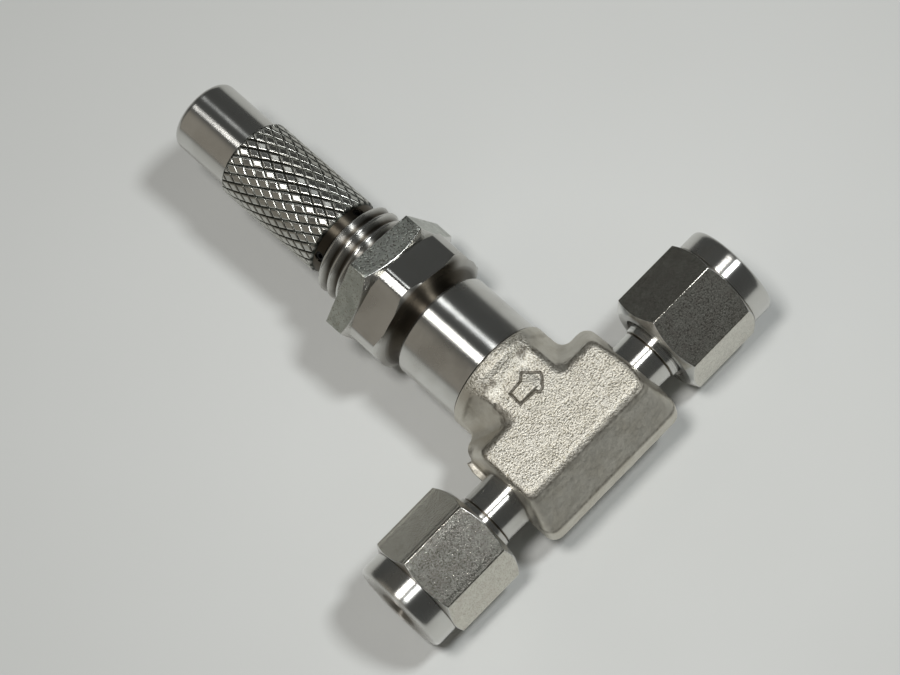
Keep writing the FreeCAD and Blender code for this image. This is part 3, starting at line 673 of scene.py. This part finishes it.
# the dark colours below are painted shade for grooves, recesses and thread roots
STEM_TURNED = make_turned_steel("turned on the stem axis", "Y", *BRIGHT_STEEL, 0.21, 5200.0, 0.15,
                                dark=(0.09, 0.074, 0.052))
RUN_TURNED = make_turned_steel("turned on the run axis", "X", *BRIGHT_STEEL, 0.21, 5200.0, 0.15,
                               dark=(0.1, 0.075, 0.045))
TIP_TURNED = make_turned_steel("polished tip", "Y", (0.64, 0.635, 0.61), (0.58, 0.57, 0.54),
                               0.15, 4200.0, 0.12)
# dark: painted shade in the knurl's grooves, which also hides their glints
KNURLED = make_turned_steel("rolled knurl", "Y", (0.57, 0.57, 0.535), (0.48, 0.47, 0.43),
                            0.21, 3000.0, 0.1, dark=(0.03, 0.035, 0.026))
RUBBER = make_plain("seal rubber", (0.03, 0.03, 0.03), (0.02, 0.02, 0.02), 0.5)
PLASTIC = make_plain("white seal plastic", (0.86, 0.85, 0.82), (0.8, 0.78, 0.73), 0.4)


# Pieces
def distance_to_arrow(x, y):
    """Distance from a point of the pad to the arrow's outline."""
    here = Vector((x, y))
    nearest = PAD_FACE
    for k, corner in enumerate(ARROW):
        start = Vector(corner)
        way = Vector(ARROW[(k + 1) % len(ARROW)]) - start
        along = min(1, max(0, (here - start).dot(way) / way.length_squared))
        nearest = min(nearest, (here - start - way * along).length)
    return nearest


def near_arrow(vert):
    """Whether a vertex lies in the arrow's groove or close beside it."""
    return vert.co.z > PAD_FACE - 1 and distance_to_arrow(vert.co.x, vert.co.y) < 2.5 * ARROW_GROOVE_WIDTH


def collar_blend():
    """Fills the valley between the forged stem and the collar: the stem's outline swells to the round."""
    side_run = STEM_PARTING_SIDE - STEM_PAD_SIDE

    def place(point, angle):
        height, radius = point[:2]
        if radius == 0:
            return height, 0
        across, up = abs(math.cos(angle)), abs(math.sin(angle))
        pad = RUN_HEIGHT / max(up, 0.01)
        side = STEM_PARTING_SIDE * RUN_HEIGHT / (RUN_HEIGHT * across + side_run * up)
        outline = min(pad, side)
        return height, outline + (COLLAR_RADIUS - outline) * smooth_step(*COLLAR_SWELL, height)

    profile = [(COLLAR_BLEND[0], 0, 0)]
    profile += [(height, 1, 0) for height in COLLAR_BLEND]
    profile += [(COLLAR_BLEND[-1], 0, 0)]
    bm = spun(profile, ROUND_COLUMNS, place)
    bmesh.ops.transform(bm, matrix=Matrix.Scale(1 / MM, 4) @ ON_STEM, verts=bm.verts[:])
    return bm


def waist_forging(vert):
    """Draws the forging in around each stub, so that the turned end comes straight out of it."""
    if abs(vert.co.x) < WAIST_START:
        return
    radius = math.hypot(vert.co.y, vert.co.z - RUN_HEIGHT)
    if not 0 < radius < WAIST_REACH + WAIST_FADE:
        return
    if radius < WAIST_REACH:
        share = min(1, WAIST_RADIUS / radius)
    else:
        from_edge = (WAIST_REACH + WAIST_FADE - radius) / WAIST_FADE
        share = 1 - from_edge * (1 - WAIST_RADIUS / WAIST_REACH)
    vert.co.y *= share
    vert.co.z = RUN_HEIGHT + (vert.co.z - RUN_HEIGHT) * share


def forging_painted_shade(vert):
    """Painted shade in the arrow's groove and round the stubs, and in specks on rims, ridge, nick and collar.
    """
    if near_arrow(vert):
        return ARROW_SHADE * smooth_step(ARROW_GROOVE_WIDTH, 0.35 * ARROW_GROOVE_WIDTH,
                                        distance_to_arrow(vert.co.x, vert.co.y))
    height = abs(vert.co.z - RUN_HEIGHT)
    from_run = math.hypot(vert.co.y, height)
    if abs(vert.co.x) > WAIST_START and from_run < STUB_SHADE_FADE[1]:
        return STUB_SHADE * (1 - smooth_step(*STUB_SHADE_FADE, from_run))
    specks = 0.75 + 0.6 * noise.noise(vert.co * 3.1) + 0.4 * noise.noise(vert.co * 7.3)
    rim = 0
    # painted shade along the pad rims, picked by how steeply the surface leans
    if RUN_HEIGHT - RIM_BELOW < height < RUN_HEIGHT + RIM_ABOVE:
        rim = max(0, 1 - abs(abs(vert.normal.z) - RIM_LEAN) / RIM_SPREAD)
        rim *= RIM_SHADE - RIM_SHADE * smooth_step(*RIM_SHADE_FADE, vert.co.y)
    ridge = 0
    # painted shadow line under the parting ridge on the near side
    if vert.co.y < RIDGE_START:
        ridge = RIDGE_SHADOW * max(0, 1 - abs(height - RIDGE_HEIGHT) / RIDGE_SPREAD)
    # painted shade in the nick by the flash and in crescents where the stem meets the collar
    dent_shade = NICK_SHADE * (1 - smooth_step(*NICK_FADE, (vert.co.xy - Vector(NICK)).length))
    if height > RUN_HEIGHT - RIM_BELOW:
        for place, reach in CRESCENT_SHADOWS:
            away = (vert.co.xy - Vector(place)).length
            dent_shade += CRESCENT_SHADOW_STRENGTH * (1 - smooth_step(0.3 * reach, reach, away))
    return min(STRONGEST_SHADE, max(0, max(rim, dent_shade, ridge) * specks))


def add_flash(bm):
    """Thin ragged flash left at one corner of the parting line."""
    low = RUN_HEIGHT - FLASH_THICKNESS / 2
    leaf = bm.faces.new([bm.verts.new((x, y, low)) for x, y in FLASH])
    raised = bmesh.ops.extrude_face_region(bm, geom=[leaf], use_keep_orig=True)["geom"]
    bmesh.ops.translate(bm, vec=(0, 0, FLASH_THICKNESS),
                        verts=[item for item in raised if isinstance(item, bmesh.types.BMVert)])


def smooth_verts(bm, verts, passes):
    """Smooths some vertices of a bmesh several times."""
    for _ in range(passes):
        bmesh.ops.smooth_vert(bm, verts=verts, factor=0.5, use_axis_x=True, use_axis_y=True, use_axis_z=True)


def add_cylinder(bm, radius, length, place):
    """Adds a closed cylinder, its middle and turn set by place."""
    bmesh.ops.create_cone(bm, cap_ends=True, segments=48, radius1=radius, radius2=radius, depth=length,
                          matrix=place)


def make_forging():
    """Rough forging from the CAD body: bores filled, edges rounded by a remesh, cut where turning starts."""
    bm = bmesh.new()
    bm.from_mesh(nodes["body"].data)
    bmesh.ops.scale(bm, vec=(1 / MM,) * 3, verts=bm.verts[:])
    bmesh.ops.remove_doubles(bm, verts=bm.verts[:], dist=1e-4)
    add_cylinder(bm, RUN_FILL_RADIUS, 2 * (PORT_END - FILL_SHORT),
                 Matrix.Translation((0, 0, RUN_HEIGHT)) @ TO_RUN)
    neck_fill_end = NECK_END - FILL_SHORT
    neck_fill_middle = Matrix.Translation((0, (neck_fill_end + NECK_FILL_START) / 2, RUN_HEIGHT))
    add_cylinder(bm, NECK_FILL_RADIUS, neck_fill_end - NECK_FILL_START,
                 neck_fill_middle @ Matrix.Rotation(math.pi / 2, 4, "X"))
    add_flash(bm)
    bm = with_modifier(joined(bm, collar_blend()), "REMESH", mode="VOXEL", voxel_size=FORGING_VOXEL,
                       adaptivity=0.0)
    turned_roots = (((0, COLLAR_END, 0), (0, 1, 0)), ((OUTLET_ROOT, 0, 0), (1, 0, 0)),
                    ((-INLET_ROOT, 0, 0), (-1, 0, 0)))
    for place, way in turned_roots:
        cut(bm, place, way, near=1e-4)
    groove = [edge for edge in bm.edges if all(near_arrow(vert) for vert in edge.verts)]
    bmesh.ops.subdivide_edges(bm, edges=groove, cuts=2, use_grid_fill=True)
    free = [vert for vert in bm.verts if not vert.is_boundary]
    smooth_verts(bm, free, FORGING_SMOOTHINGS)
    crease = [vert for vert in free if COLLAR_CREASE[0] < vert.co.y < COLLAR_CREASE[1]
              and abs(vert.co.z - RUN_HEIGHT) > CREASE_FROM_RUN]
    smooth_verts(bm, crease, CREASE_SMOOTHINGS)
    bmesh.ops.holes_fill(bm, edges=[edge for edge in bm.edges if edge.is_boundary], sides=0)
    bmesh.ops.recalc_face_normals(bm, faces=bm.faces[:])
    for vert in bm.verts:
        waist_forging(vert)
    bm.normal_update()
    for vert in free:
        where = vert.co
        vert.co += vert.normal * sum(noise.noise(where * often) * high for often, high in FORGING_LUMPS)
    for vert in free:
        if near_arrow(vert):
            nearness = 1 - min(1, distance_to_arrow(vert.co.x, vert.co.y) / ARROW_GROOVE_WIDTH)
            vert.co.z -= ARROW_GROOVE_DEPTH * nearness * nearness * (3 - 2 * nearness)
    bm.normal_update()
    return with_painted_shade(bm, forging_painted_shade)


def make_neck():
    """Turned neck with the bore that takes the bonnet's foot."""
    groove = (COLLAR_END - 0.05, COLLAR_END + 0.14)
    neck = turned([(NECK_ROOT, CHAMBER_RADIUS, 0), (NECK_ROOT, NECK_ROOT_RADIUS, 0),
                   (COLLAR_END - 0.15, NECK_ROOT_RADIUS, 0), (groove[0], NECK_GROOVE_RADIUS, 0),
                   (groove[1], NECK_GROOVE_RADIUS, 0), (COLLAR_END + 0.18, NECK_RADIUS, 0.02),
                   (NECK_END - 0.35, NECK_RADIUS, 0.08), (NECK_END, NECK_RADIUS - 0.3, 0.06),
                   (NECK_END, NECK_BORE_RADIUS, 0), (NECK_BORE_FLOOR, NECK_BORE_RADIUS, 0),
                   (NECK_BORE_FLOOR, CHAMBER_RADIUS, 0)], closed=True)
    # painted shade in the undercut groove at the collar and below it
    return with_painted_shade(neck, lambda vert: 1 - smooth_step(groove[1], COLLAR_END + 0.2, vert.co.z))


def make_tube_end():
    """Turned tube end from inside the forging: waisted stub, shoulder, thread, cone and tube socket."""
    core_radius = PORT_THREAD_ROOT - 0.02
    core_end = PORT_END - 0.03
    core = turned([(TUBE_END_START, 0, 0)]
                  + [(height, radius, 0) for height, radius in STUB_WAIST]
                  + [(UNDERCUT[0], UNDERCUT_RADIUS, 0.02), (UNDERCUT[1], UNDERCUT_RADIUS, 0.02),
                     (SHOULDER_START, SHOULDER_RADIUS - 0.1, 0.04), (12.8, SHOULDER_RADIUS - 0.04, 0.02),
                     (12.92, SHOULDER_RADIUS, 0.04), (PORT_THREAD_START, SHOULDER_RADIUS, 0),
                     (PORT_THREAD_START + 0.1, core_radius, 0), (core_end, core_radius, 0),
                     (core_end, CONE_MOUTH_RADIUS, 0.03),
                     (PORT_END - CONE_LENGTH, TUBE_BORE_RADIUS, 0), (TUBE_STOP, TUBE_BORE_RADIUS, 0),
                     (TUBE_STOP, PASSAGE_RADIUS, 0), (PASSAGE_START, PASSAGE_RADIUS, 0),
                     (PASSAGE_START, 0, 0)])
    screw = threaded(PORT_THREAD_START, PORT_END, PORT_THREAD_RADIUS, PORT_THREAD_ROOT, PORT_THREAD_PITCH,
                     PORT_THREAD_CHAMFER, PORT_THREAD_ROOT - 0.3)

    def tube_end_painted_shade(vert):
        # painted shade inside the cone's mouth and in the undercut by the shoulder
        radius = math.hypot(vert.co.x, vert.co.y)
        if radius < CONE_MOUTH_RADIUS:
            return 0.6
        if vert.co.z > UNDERCUT_SHADE_START:
            return 0.9 * (1 - smooth_step(3.22, 3.3, radius))
        return 0

    return with_painted_shade(joined(core, screw), tube_end_painted_shade)


def make_bonnet():
    """Bonnet: foot in the neck, hollow relief, turned hexagon and panel thread."""
    into_hex = HEX_START + 0.5
    core_end = BONNET_END - 0.02
    core = turned([(BONNET_FOOT, SEAL_BORE_RADIUS, 0), (BONNET_FOOT, FOOT_RADIUS, 0),
                   (NECK_END, FOOT_RADIUS, 0), (NECK_END + 0.05, RELIEF_RADIUS, 0.03)]
                  + [(height, radius, 0) for height, radius in RELIEF_HOLLOW]
                  + [(into_hex, 6.6, 0), (into_hex, BONNET_CORE_RADIUS, 0),
                     (core_end, BONNET_CORE_RADIUS, 0), (core_end, STEM_BORE_RADIUS + STEM_BORE_CHAMFER, 0),
                     (core_end - STEM_BORE_CHAMFER, STEM_BORE_RADIUS, 0), (STEM_STOP, STEM_BORE_RADIUS, 0),
                     (STEM_STOP, NEEDLE_BORE_RADIUS, 0), (SEAL_STOP, NEEDLE_BORE_RADIUS, 0),
                     (SEAL_STOP, SEAL_BORE_RADIUS, 0)], closed=True)
    back_edge = BONNET_FACE_RADIUS - 0.15
    hexagon = hexagonal([(HEX_START, HEX_INSIDE_RADIUS, 0, 0), (HEX_START, 6.5, 0, 0),
                         (HEX_START, HEX_BACK_RADIUS, 0.04, 0), (HEX_START + 0.3, back_edge, 0.04, 0),
                         (HEX_START + 0.38, back_edge, 0.04, -1), (HEX_END, BONNET_FACE_RADIUS, 0.04, 1),
                         (HEX_END, BONNET_FACE_RADIUS, 0.04, 2), (HEX_END, 7.0, 0, 0),
                         (HEX_END, HEX_INSIDE_RADIUS, 0, 0)],
                        PANEL_FLATS, BONNET_TURN, BONNET_TURNED_RADIUS)
    screw = threaded(HEX_END - 0.3, BONNET_END, PANEL_THREAD_RADIUS, PANEL_THREAD_ROOT, PANEL_THREAD_PITCH,
                     PANEL_THREAD_CHAMFER, 4.3, PANEL_CREST_ANGLE, PANEL_CREST_HEIGHT)

    def bonnet_painted_shade(vert):
        # painted shade in the thread roots and the relief hollow; the hexagon's back face stays darkest on
        # its top side, where painted shade hides the lamps' highlights
        radius = math.hypot(vert.co.x, vert.co.y)
        if vert.co.z > HEX_END + 0.1:
            return 0.92 * (1 - smooth_step(PANEL_THREAD_ROOT + 0.15, PANEL_THREAD_RADIUS - 0.06, radius))
        if vert.co.z < HEX_START + 0.35 and radius < BONNET_FACE_RADIUS - 0.1:
            away_from_top = 1 - smooth_step(0.55, 0.8, -vert.co.y / radius)
            return 0.95 - 0.7 * smooth_step(6.0, 7.0, radius) * away_from_top
        return 0

    return with_painted_shade(joined(core, hexagon, screw), bonnet_painted_shade)


def make_panel_nut():
    """Thin hexagonal nut with its chamfer on the bonnet's side."""
    bore = PANEL_NUT_BORE_RADIUS
    mouth = bore + PANEL_NUT_BORE_CHAMFER
    return hexagonal([(PANEL_NUT_START, mouth, 0, 0), (PANEL_NUT_START, 6.5, 0, 0),
                      (PANEL_NUT_START, PANEL_NUT_FACE_RADIUS, 0.02, 0),
                      (PANEL_NUT_START, PANEL_NUT_FACE_RADIUS, 0.06, -1),
                      (PANEL_NUT_END, UNTURNED, 0.05, 2), (PANEL_NUT_END, 7.0, 0, 0),
                      (PANEL_NUT_END, mouth, 0, 0), (PANEL_NUT_END - PANEL_NUT_BORE_CHAMFER, bore, 0, 0),
                      (PANEL_NUT_START + PANEL_NUT_BORE_CHAMFER, bore, 0, 0)],
                     PANEL_FLATS, PANEL_NUT_TURN, UNTURNED)


def make_tube_nut(turn, corner_rounding):
    """Tube nut: chamfered hexagon, turned round end and the bore for thread, ferrules and tube."""
    face = NUT_FACE_RADIUS
    outside = NUT_ROUND_RADIUS
    nut = hexagonal([(NUT_START, NUT_MOUTH_RADIUS, 0.03, 0), (NUT_START, face, 0.06, 0),
                     (NUT_START, face, 0.05, -1), (NUT_HEX_END, outside - 0.04, 0.05, 1),
                     (NUT_HEX_END, NUT_GROOVE_RADIUS, 0, 0), (NUT_HEX_END + 0.08, outside, 0.02, 0),
                     (NUT_END - 0.55, outside, 0.2, 0), (NUT_END - 0.17, outside - 0.17, 0.15, 0),
                     (NUT_END, outside - 0.55, 0.2, 0), (NUT_END, NUT_BORE_MOUTH_RADIUS, 0.05, 0),
                     (NUT_END - 0.5, NUT_BORE_RADIUS, 0, 0), (FERRULE_SEAT, NUT_BORE_RADIUS, 0, 0),
                     (FERRULE_SEAT, FERRULE_BORE_RADIUS, 0, 0),
                     (FERRULE_BORE_START, FERRULE_BORE_RADIUS, 0, 0),
                     (PORT_END + 0.03, NUT_THREAD_RADIUS, 0, 0),
                     (NUT_START + 0.15, NUT_THREAD_RADIUS, 0, 0)],
                    NUT_FLATS, turn + 90, UNTURNED, corner_rounding)

    def nut_painted_shade(vert):
        # painted shade inside the bore and in the groove behind the hexagon
        radius = math.hypot(vert.co.x, vert.co.y)
        if radius < 3.0:
            return 0.7
        in_groove = abs(radius - NUT_GROOVE_RADIUS) < 0.02 and vert.co.z < NUT_HEX_END + 0.1
        return 0.6 if in_groove else 0

    return with_painted_shade(nut, nut_painted_shade)


def groove_depth(cells, deepest, half_width):
    """Depth across one groove of the knurl: a V with eased edges on the lands beside it."""
    from_middle = abs((cells + 0.5) % 1 - 0.5)
    if from_middle > half_width:
        return KNURL_EASE * (1 - smooth_step(half_width, 2 * half_width, from_middle))
    return KNURL_EASE + (deepest - KNURL_EASE) * (1 - from_middle / half_width)


def make_knurl():
    """Diamond knurl: a flat grid along both sets of grooves, cut to length, wrapped round and closed."""
    length = KNURL_END - KNURL_START
    around = FULL_TURN * KNURL_RADIUS
    reach = math.ceil(length / KNURL_REPEAT) + 2
    cells = KNURL_GROOVES + 2 * reach
    steps = len(MAIN_GROOVE_STEPS)
    bm = bmesh.new()
    bmesh.ops.create_grid(bm, x_segments=cells * steps, y_segments=cells * steps, size=cells * steps / 2)
    for vert in bm.verts:
        along = []
        for raw, groove_steps in ((vert.co.x, MAIN_GROOVE_STEPS), (vert.co.y, CROSS_GROOVE_STEPS)):
            index = round(raw + cells * steps / 2)
            along.append(index // steps - reach + groove_steps[index % steps])
        main, cross = along
        vert.co = ((main + cross) / 2 / KNURL_GROOVES * around, KNURL_REPEAT * (main - cross) / 2, 0)
    sides = (((0, 0, 0), (-1, 0, 0)), ((around, 0, 0), (1, 0, 0)),
             ((0, 0, 0), (0, -1, 0)), ((0, length, 0), (0, 1, 0)))
    for place, way in sides:
        cut(bm, place, way)
    for height in (KNURL_FIRST_CHAMFER, length - KNURL_LAST_CHAMFER):
        cut(bm, (0, height, 0), (0, 1, 0), clear=False)
    for vert in bm.verts:
        turn = vert.co.x / around
        height = vert.co.y
        main = KNURL_GROOVES * turn + height / KNURL_REPEAT
        cross = KNURL_GROOVES * turn - height / KNURL_REPEAT
        depth = max(groove_depth(main, KNURL_DEPTH, MAIN_GROOVE_STEPS[2]),
                    groove_depth(cross, CROSS_GROOVE_DEPTH, CROSS_GROOVE_STEPS[2]))
        land_middle = (math.floor(main) + math.floor(cross) + 1) / 2 / KNURL_GROOVES
        from_middle = (turn - land_middle) * FULL_TURN
        flat = KNURL_RADIUS * math.cos(math.pi / KNURL_GROOVES) / math.cos(from_middle)
        radius = KNURL_RADIUS - depth - LAND_FLATNESS * max(0, KNURL_RADIUS - flat)
        first_chamfer = max(0, KNURL_FIRST_CHAMFER - height) * KNURL_FIRST_SLOPE
        last_chamfer = max(0, height - length + KNURL_LAST_CHAMFER)
        radius = min(radius, KNURL_RADIUS - first_chamfer, KNURL_RADIUS - last_chamfer)
        angle = turn * FULL_TURN
        vert.co = (radius * math.cos(angle), radius * math.sin(angle), KNURL_START + height)
    bmesh.ops.remove_doubles(bm, verts=bm.verts[:], dist=1e-4)
    close_inwards(bm, KNURL_START, KNURL_END, SHANK_RADIUS + 1)
    return bm


def handle_painted_shade(vert):
    """Painted shade on the recessed band and in the knurl's grooves."""
    radius = math.hypot(vert.co.x, vert.co.y)
    if vert.co.z < KNURL_START + 0.05:
        return 0.95
    if vert.co.z > KNURL_END - 0.02:
        return 0
    return 0.95 * (1 - smooth_step(KNURL_RADIUS - 0.15, KNURL_RADIUS - 0.06, radius))


def make_handle():
    """Handle: smooth band with two screw holes, knurled grip and polished tip."""
    band = turned([(BAND_START, SHANK_RADIUS, 0), (BAND_START, BAND_RADIUS - BAND_CHAMFER, 0.04),
                   (BAND_START + BAND_CHAMFER, BAND_RADIUS, 0.04), (KNURL_START + 0.1, BAND_RADIUS, 0),
                   (KNURL_START + 0.1, SHANK_RADIUS, 0)], closed=True)
    for direction in SET_SCREW_DIRECTIONS:
        drill = bmesh.new()
        outwards = Matrix.Rotation(math.radians(-direction), 4, "Z") @ TO_RUN
        drill_place = (Matrix.Translation((0, 0, SET_SCREW_HEIGHT)) @ outwards
                       @ Matrix.Translation((0, 0, SET_SCREW_HOLE_MIDDLE)))
        add_cylinder(drill, SET_SCREW_HOLE_RADIUS, SET_SCREW_DRILL_LENGTH, drill_place)
        band = with_modifier(band, "BOOLEAN", helper=drill, operation="DIFFERENCE", solver="EXACT")
    rounding = [(TIP_END - TIP_ROUNDING * back, TIP_RADIUS - TIP_ROUNDING * inwards, 0)
                for back, inwards in TIP_ARC]
    tip = turned([(KNURL_END - 0.2, 0, 0), (KNURL_END - 0.2, TIP_RADIUS, 0),
                  (KNURL_END + 0.06, TIP_RADIUS, 0), (TIP_END - TIP_ROUNDING, TIP_RADIUS, 0)] + rounding
                 + [(TIP_END, TIP_RADIUS - TIP_ROUNDING, 0), (TIP_END, 0, 0)])
    grip = painted(make_knurl(), lambda face: 1)
    tip = painted(tip, lambda face: 2)
    return with_painted_shade(joined(band, grip, tip), handle_painted_shade)


def on_flat(face, low, high, turned_radius):
    """Material slot of a face of a hexagonal piece: 1 on its flats, otherwise 0."""
    middle = face.calc_center_median()
    if not low < middle.z < high or abs(face.normal.z) > 0.2:
        return 0
    return 1 if math.hypot(middle.x, middle.y) > turned_radius else 0


piece("valve_forging", make_forging(), TO_METRES, [FORGED], "body", "body", sharp=60)
piece("valve_neck", make_neck(), ON_STEM, [STEM_TURNED], "body", "body")
piece("inlet_tube_end", make_tube_end(), ON_INLET, [RUN_TURNED], "body", "body")
piece("outlet_tube_end", make_tube_end(), ON_OUTLET, [RUN_TURNED], "body", "body")
piece("bonnet_dressed", make_bonnet(), ON_STEM, [STEM_TURNED], "body", "bonnet")
panel_blank = painted(make_panel_nut(), lambda face: on_flat(face, PANEL_NUT_START, PANEL_NUT_END, 7.1))
piece("panel_nut_dressed", panel_blank, ON_STEM, [STEM_TURNED, SAWN_FLATS], "panel_nut", "panel_nut")
for side, laid, nut_turn, corner in (("inlet", ON_INLET, INLET_NUT_TURN, INLET_NUT_CORNER),
                                     ("outlet", ON_OUTLET, OUTLET_NUT_TURN, OUTLET_NUT_CORNER)):
    blank = painted(make_tube_nut(nut_turn, corner), lambda face: on_flat(face, NUT_START, NUT_HEX_END, 5.4))
    nut = side + "_nut"
    piece(nut + "_dressed", blank, laid, [RUN_TURNED, FLATS], nut, nut)
piece("handle_dressed", make_handle(), ON_STEM, [STEM_TURNED, KNURLED, TIP_TURNED], "stem_and_handle",
      "handle")

for name, node in nodes.items():
    finish = STEM_TURNED
    if "ferrule" in name:
        finish = RUN_TURNED
    if "set_screw" in name:
        finish = SCREW_BLACK
    if "ring" in name:
        finish = RUBBER if name == "stem_o_ring" else PLASTIC
    if "gasket" in name:
        finish = PLASTIC
    if name == "body":
        finish = FORGED
    for slot in node.material_slots:
        slot.material = finish

# Floor, on which the two tube nuts and the panel nut rest
FLOOR_AT_RUN = -1.1 * MM
FLOOR_SLOPE = -0.049
floor_bm = bmesh.new()
bmesh.ops.create_grid(floor_bm, x_segments=1, y_segments=1, size=3.0)
bmesh.ops.rotate(floor_bm, matrix=Matrix.Rotation(math.atan(FLOOR_SLOPE), 3, "X"), verts=floor_bm.verts[:])
bmesh.ops.translate(floor_bm, vec=(0, 0, FLOOR_AT_RUN), verts=floor_bm.verts[:])
floor_mesh = bpy.data.meshes.new("floor")
floor_bm.to_mesh(floor_mesh)
floor_bm.free()
paper, paper_tree, paper_shader, paper_place = new_material("pale board")
tint(paper_tree, paper_shader, paper_place, (0.668, 0.675, 0.66), (0.648, 0.655, 0.638), 14.0)
# painted shade: the board darkens away from the middle, where the lamps' light falls off
distance = add(paper_tree, "ShaderNodeVectorMath", {"operation": "LENGTH"}, _0=paper_place)
painted_falloff = spread(paper_tree, distance.outputs["Value"], 0.0, 1.0, start=0.03, end=0.16)
darken(paper_tree, paper_shader, painted_falloff, (0.4, 0.403, 0.39))
paper_shader.inputs["Roughness"].default_value = 0.85
paper_shader.inputs["Specular IOR Level"].default_value = 0.2
floor_mesh.materials.append(paper)
floor = bpy.data.objects.new("floor", floor_mesh)
bpy.context.scene.collection.objects.link(floor)

# Two soft lamps and a dim room with one warmer, lighter side
AIM = Vector((0, 17, 5)) * MM


def add_lamp(name, direction, reach, irradiance, colour):
    """Round lamp a metre away, of radius reach, that gives a surface facing it that irradiance."""
    lamp = bpy.data.lights.new(name, "AREA")
    lamp.shape = "DISK"
    lamp.size = 2 * reach
    lamp.energy = irradiance * math.pi * (1 + reach * reach)
    lamp.color = colour
    holder = bpy.data.objects.new(name, lamp)
    holder.location = AIM + Vector(direction).normalized()
    holder.rotation_euler = Vector(direction).to_track_quat("Z", "Y").to_euler()
    bpy.context.scene.collection.objects.link(holder)


add_lamp("main lamp", (-0.17, 0.03, 0.985), 0.125, 1.4, (1.0, 0.99, 0.97))
add_lamp("second lamp", (0.42, -0.26, 0.87), 0.085, 1.35, (0.96, 0.99, 1.0))

world = bpy.data.worlds.new("dim room")
bpy.context.scene.world = world
world.use_nodes = True
room = world.node_tree
sky = room.nodes["Background"]
toward = room.nodes.new("ShaderNodeTexCoord").outputs["Generated"]
WARM_SIDE = (-0.821, 0.383, 0.423)
facing = add(room, "ShaderNodeVectorMath", {"operation": "DOT_PRODUCT"}, _0=toward, _1=WARM_SIDE)
warm = add(room, "ShaderNodeMapRange", {"interpolation_type": "SMOOTHSTEP"}, Value=facing.outputs["Value"],
           From_Min=0.72, From_Max=0.95)
walls = add(room, "ShaderNodeMix", {"data_type": "RGBA"}, Factor=warm.outputs["Result"])
walls.inputs[6].default_value = (0.075, 0.077, 0.075, 1)
walls.inputs[7].default_value = (0.3, 0.28, 0.245, 1)
room.links.new(walls.outputs[2], sky.inputs["Color"])

# Camera, as fitted to the photograph
CAMERA_PLACE = Vector((-62.710605, -131.695823, 390.421596 + RUN_HEIGHT)) * MM
CAMERA_RIGHT = Vector((0.69671427, -0.7002428, -0.15572167))
CAMERA_DOWN = Vector((-0.70201492, -0.62091904, -0.34876152))
CAMERA_AHEAD = Vector((0.1475272, 0.35230607, -0.92418405))
camera = bpy.data.cameras.new("camera")
camera.sensor_width = 36
camera.lens = 160
camera.clip_start = 0.01
camera.clip_end = 20
viewer = bpy.data.objects.new("camera", camera)
camera_turn = Matrix((CAMERA_RIGHT, -CAMERA_DOWN, -CAMERA_AHEAD)).transposed().to_4x4()
viewer.matrix_world = Matrix.Translation(CAMERA_PLACE) @ camera_turn
bpy.context.scene.collection.objects.link(viewer)
bpy.context.scene.camera = viewer
bpy.context.scene.view_settings.view_transform = "Standard"
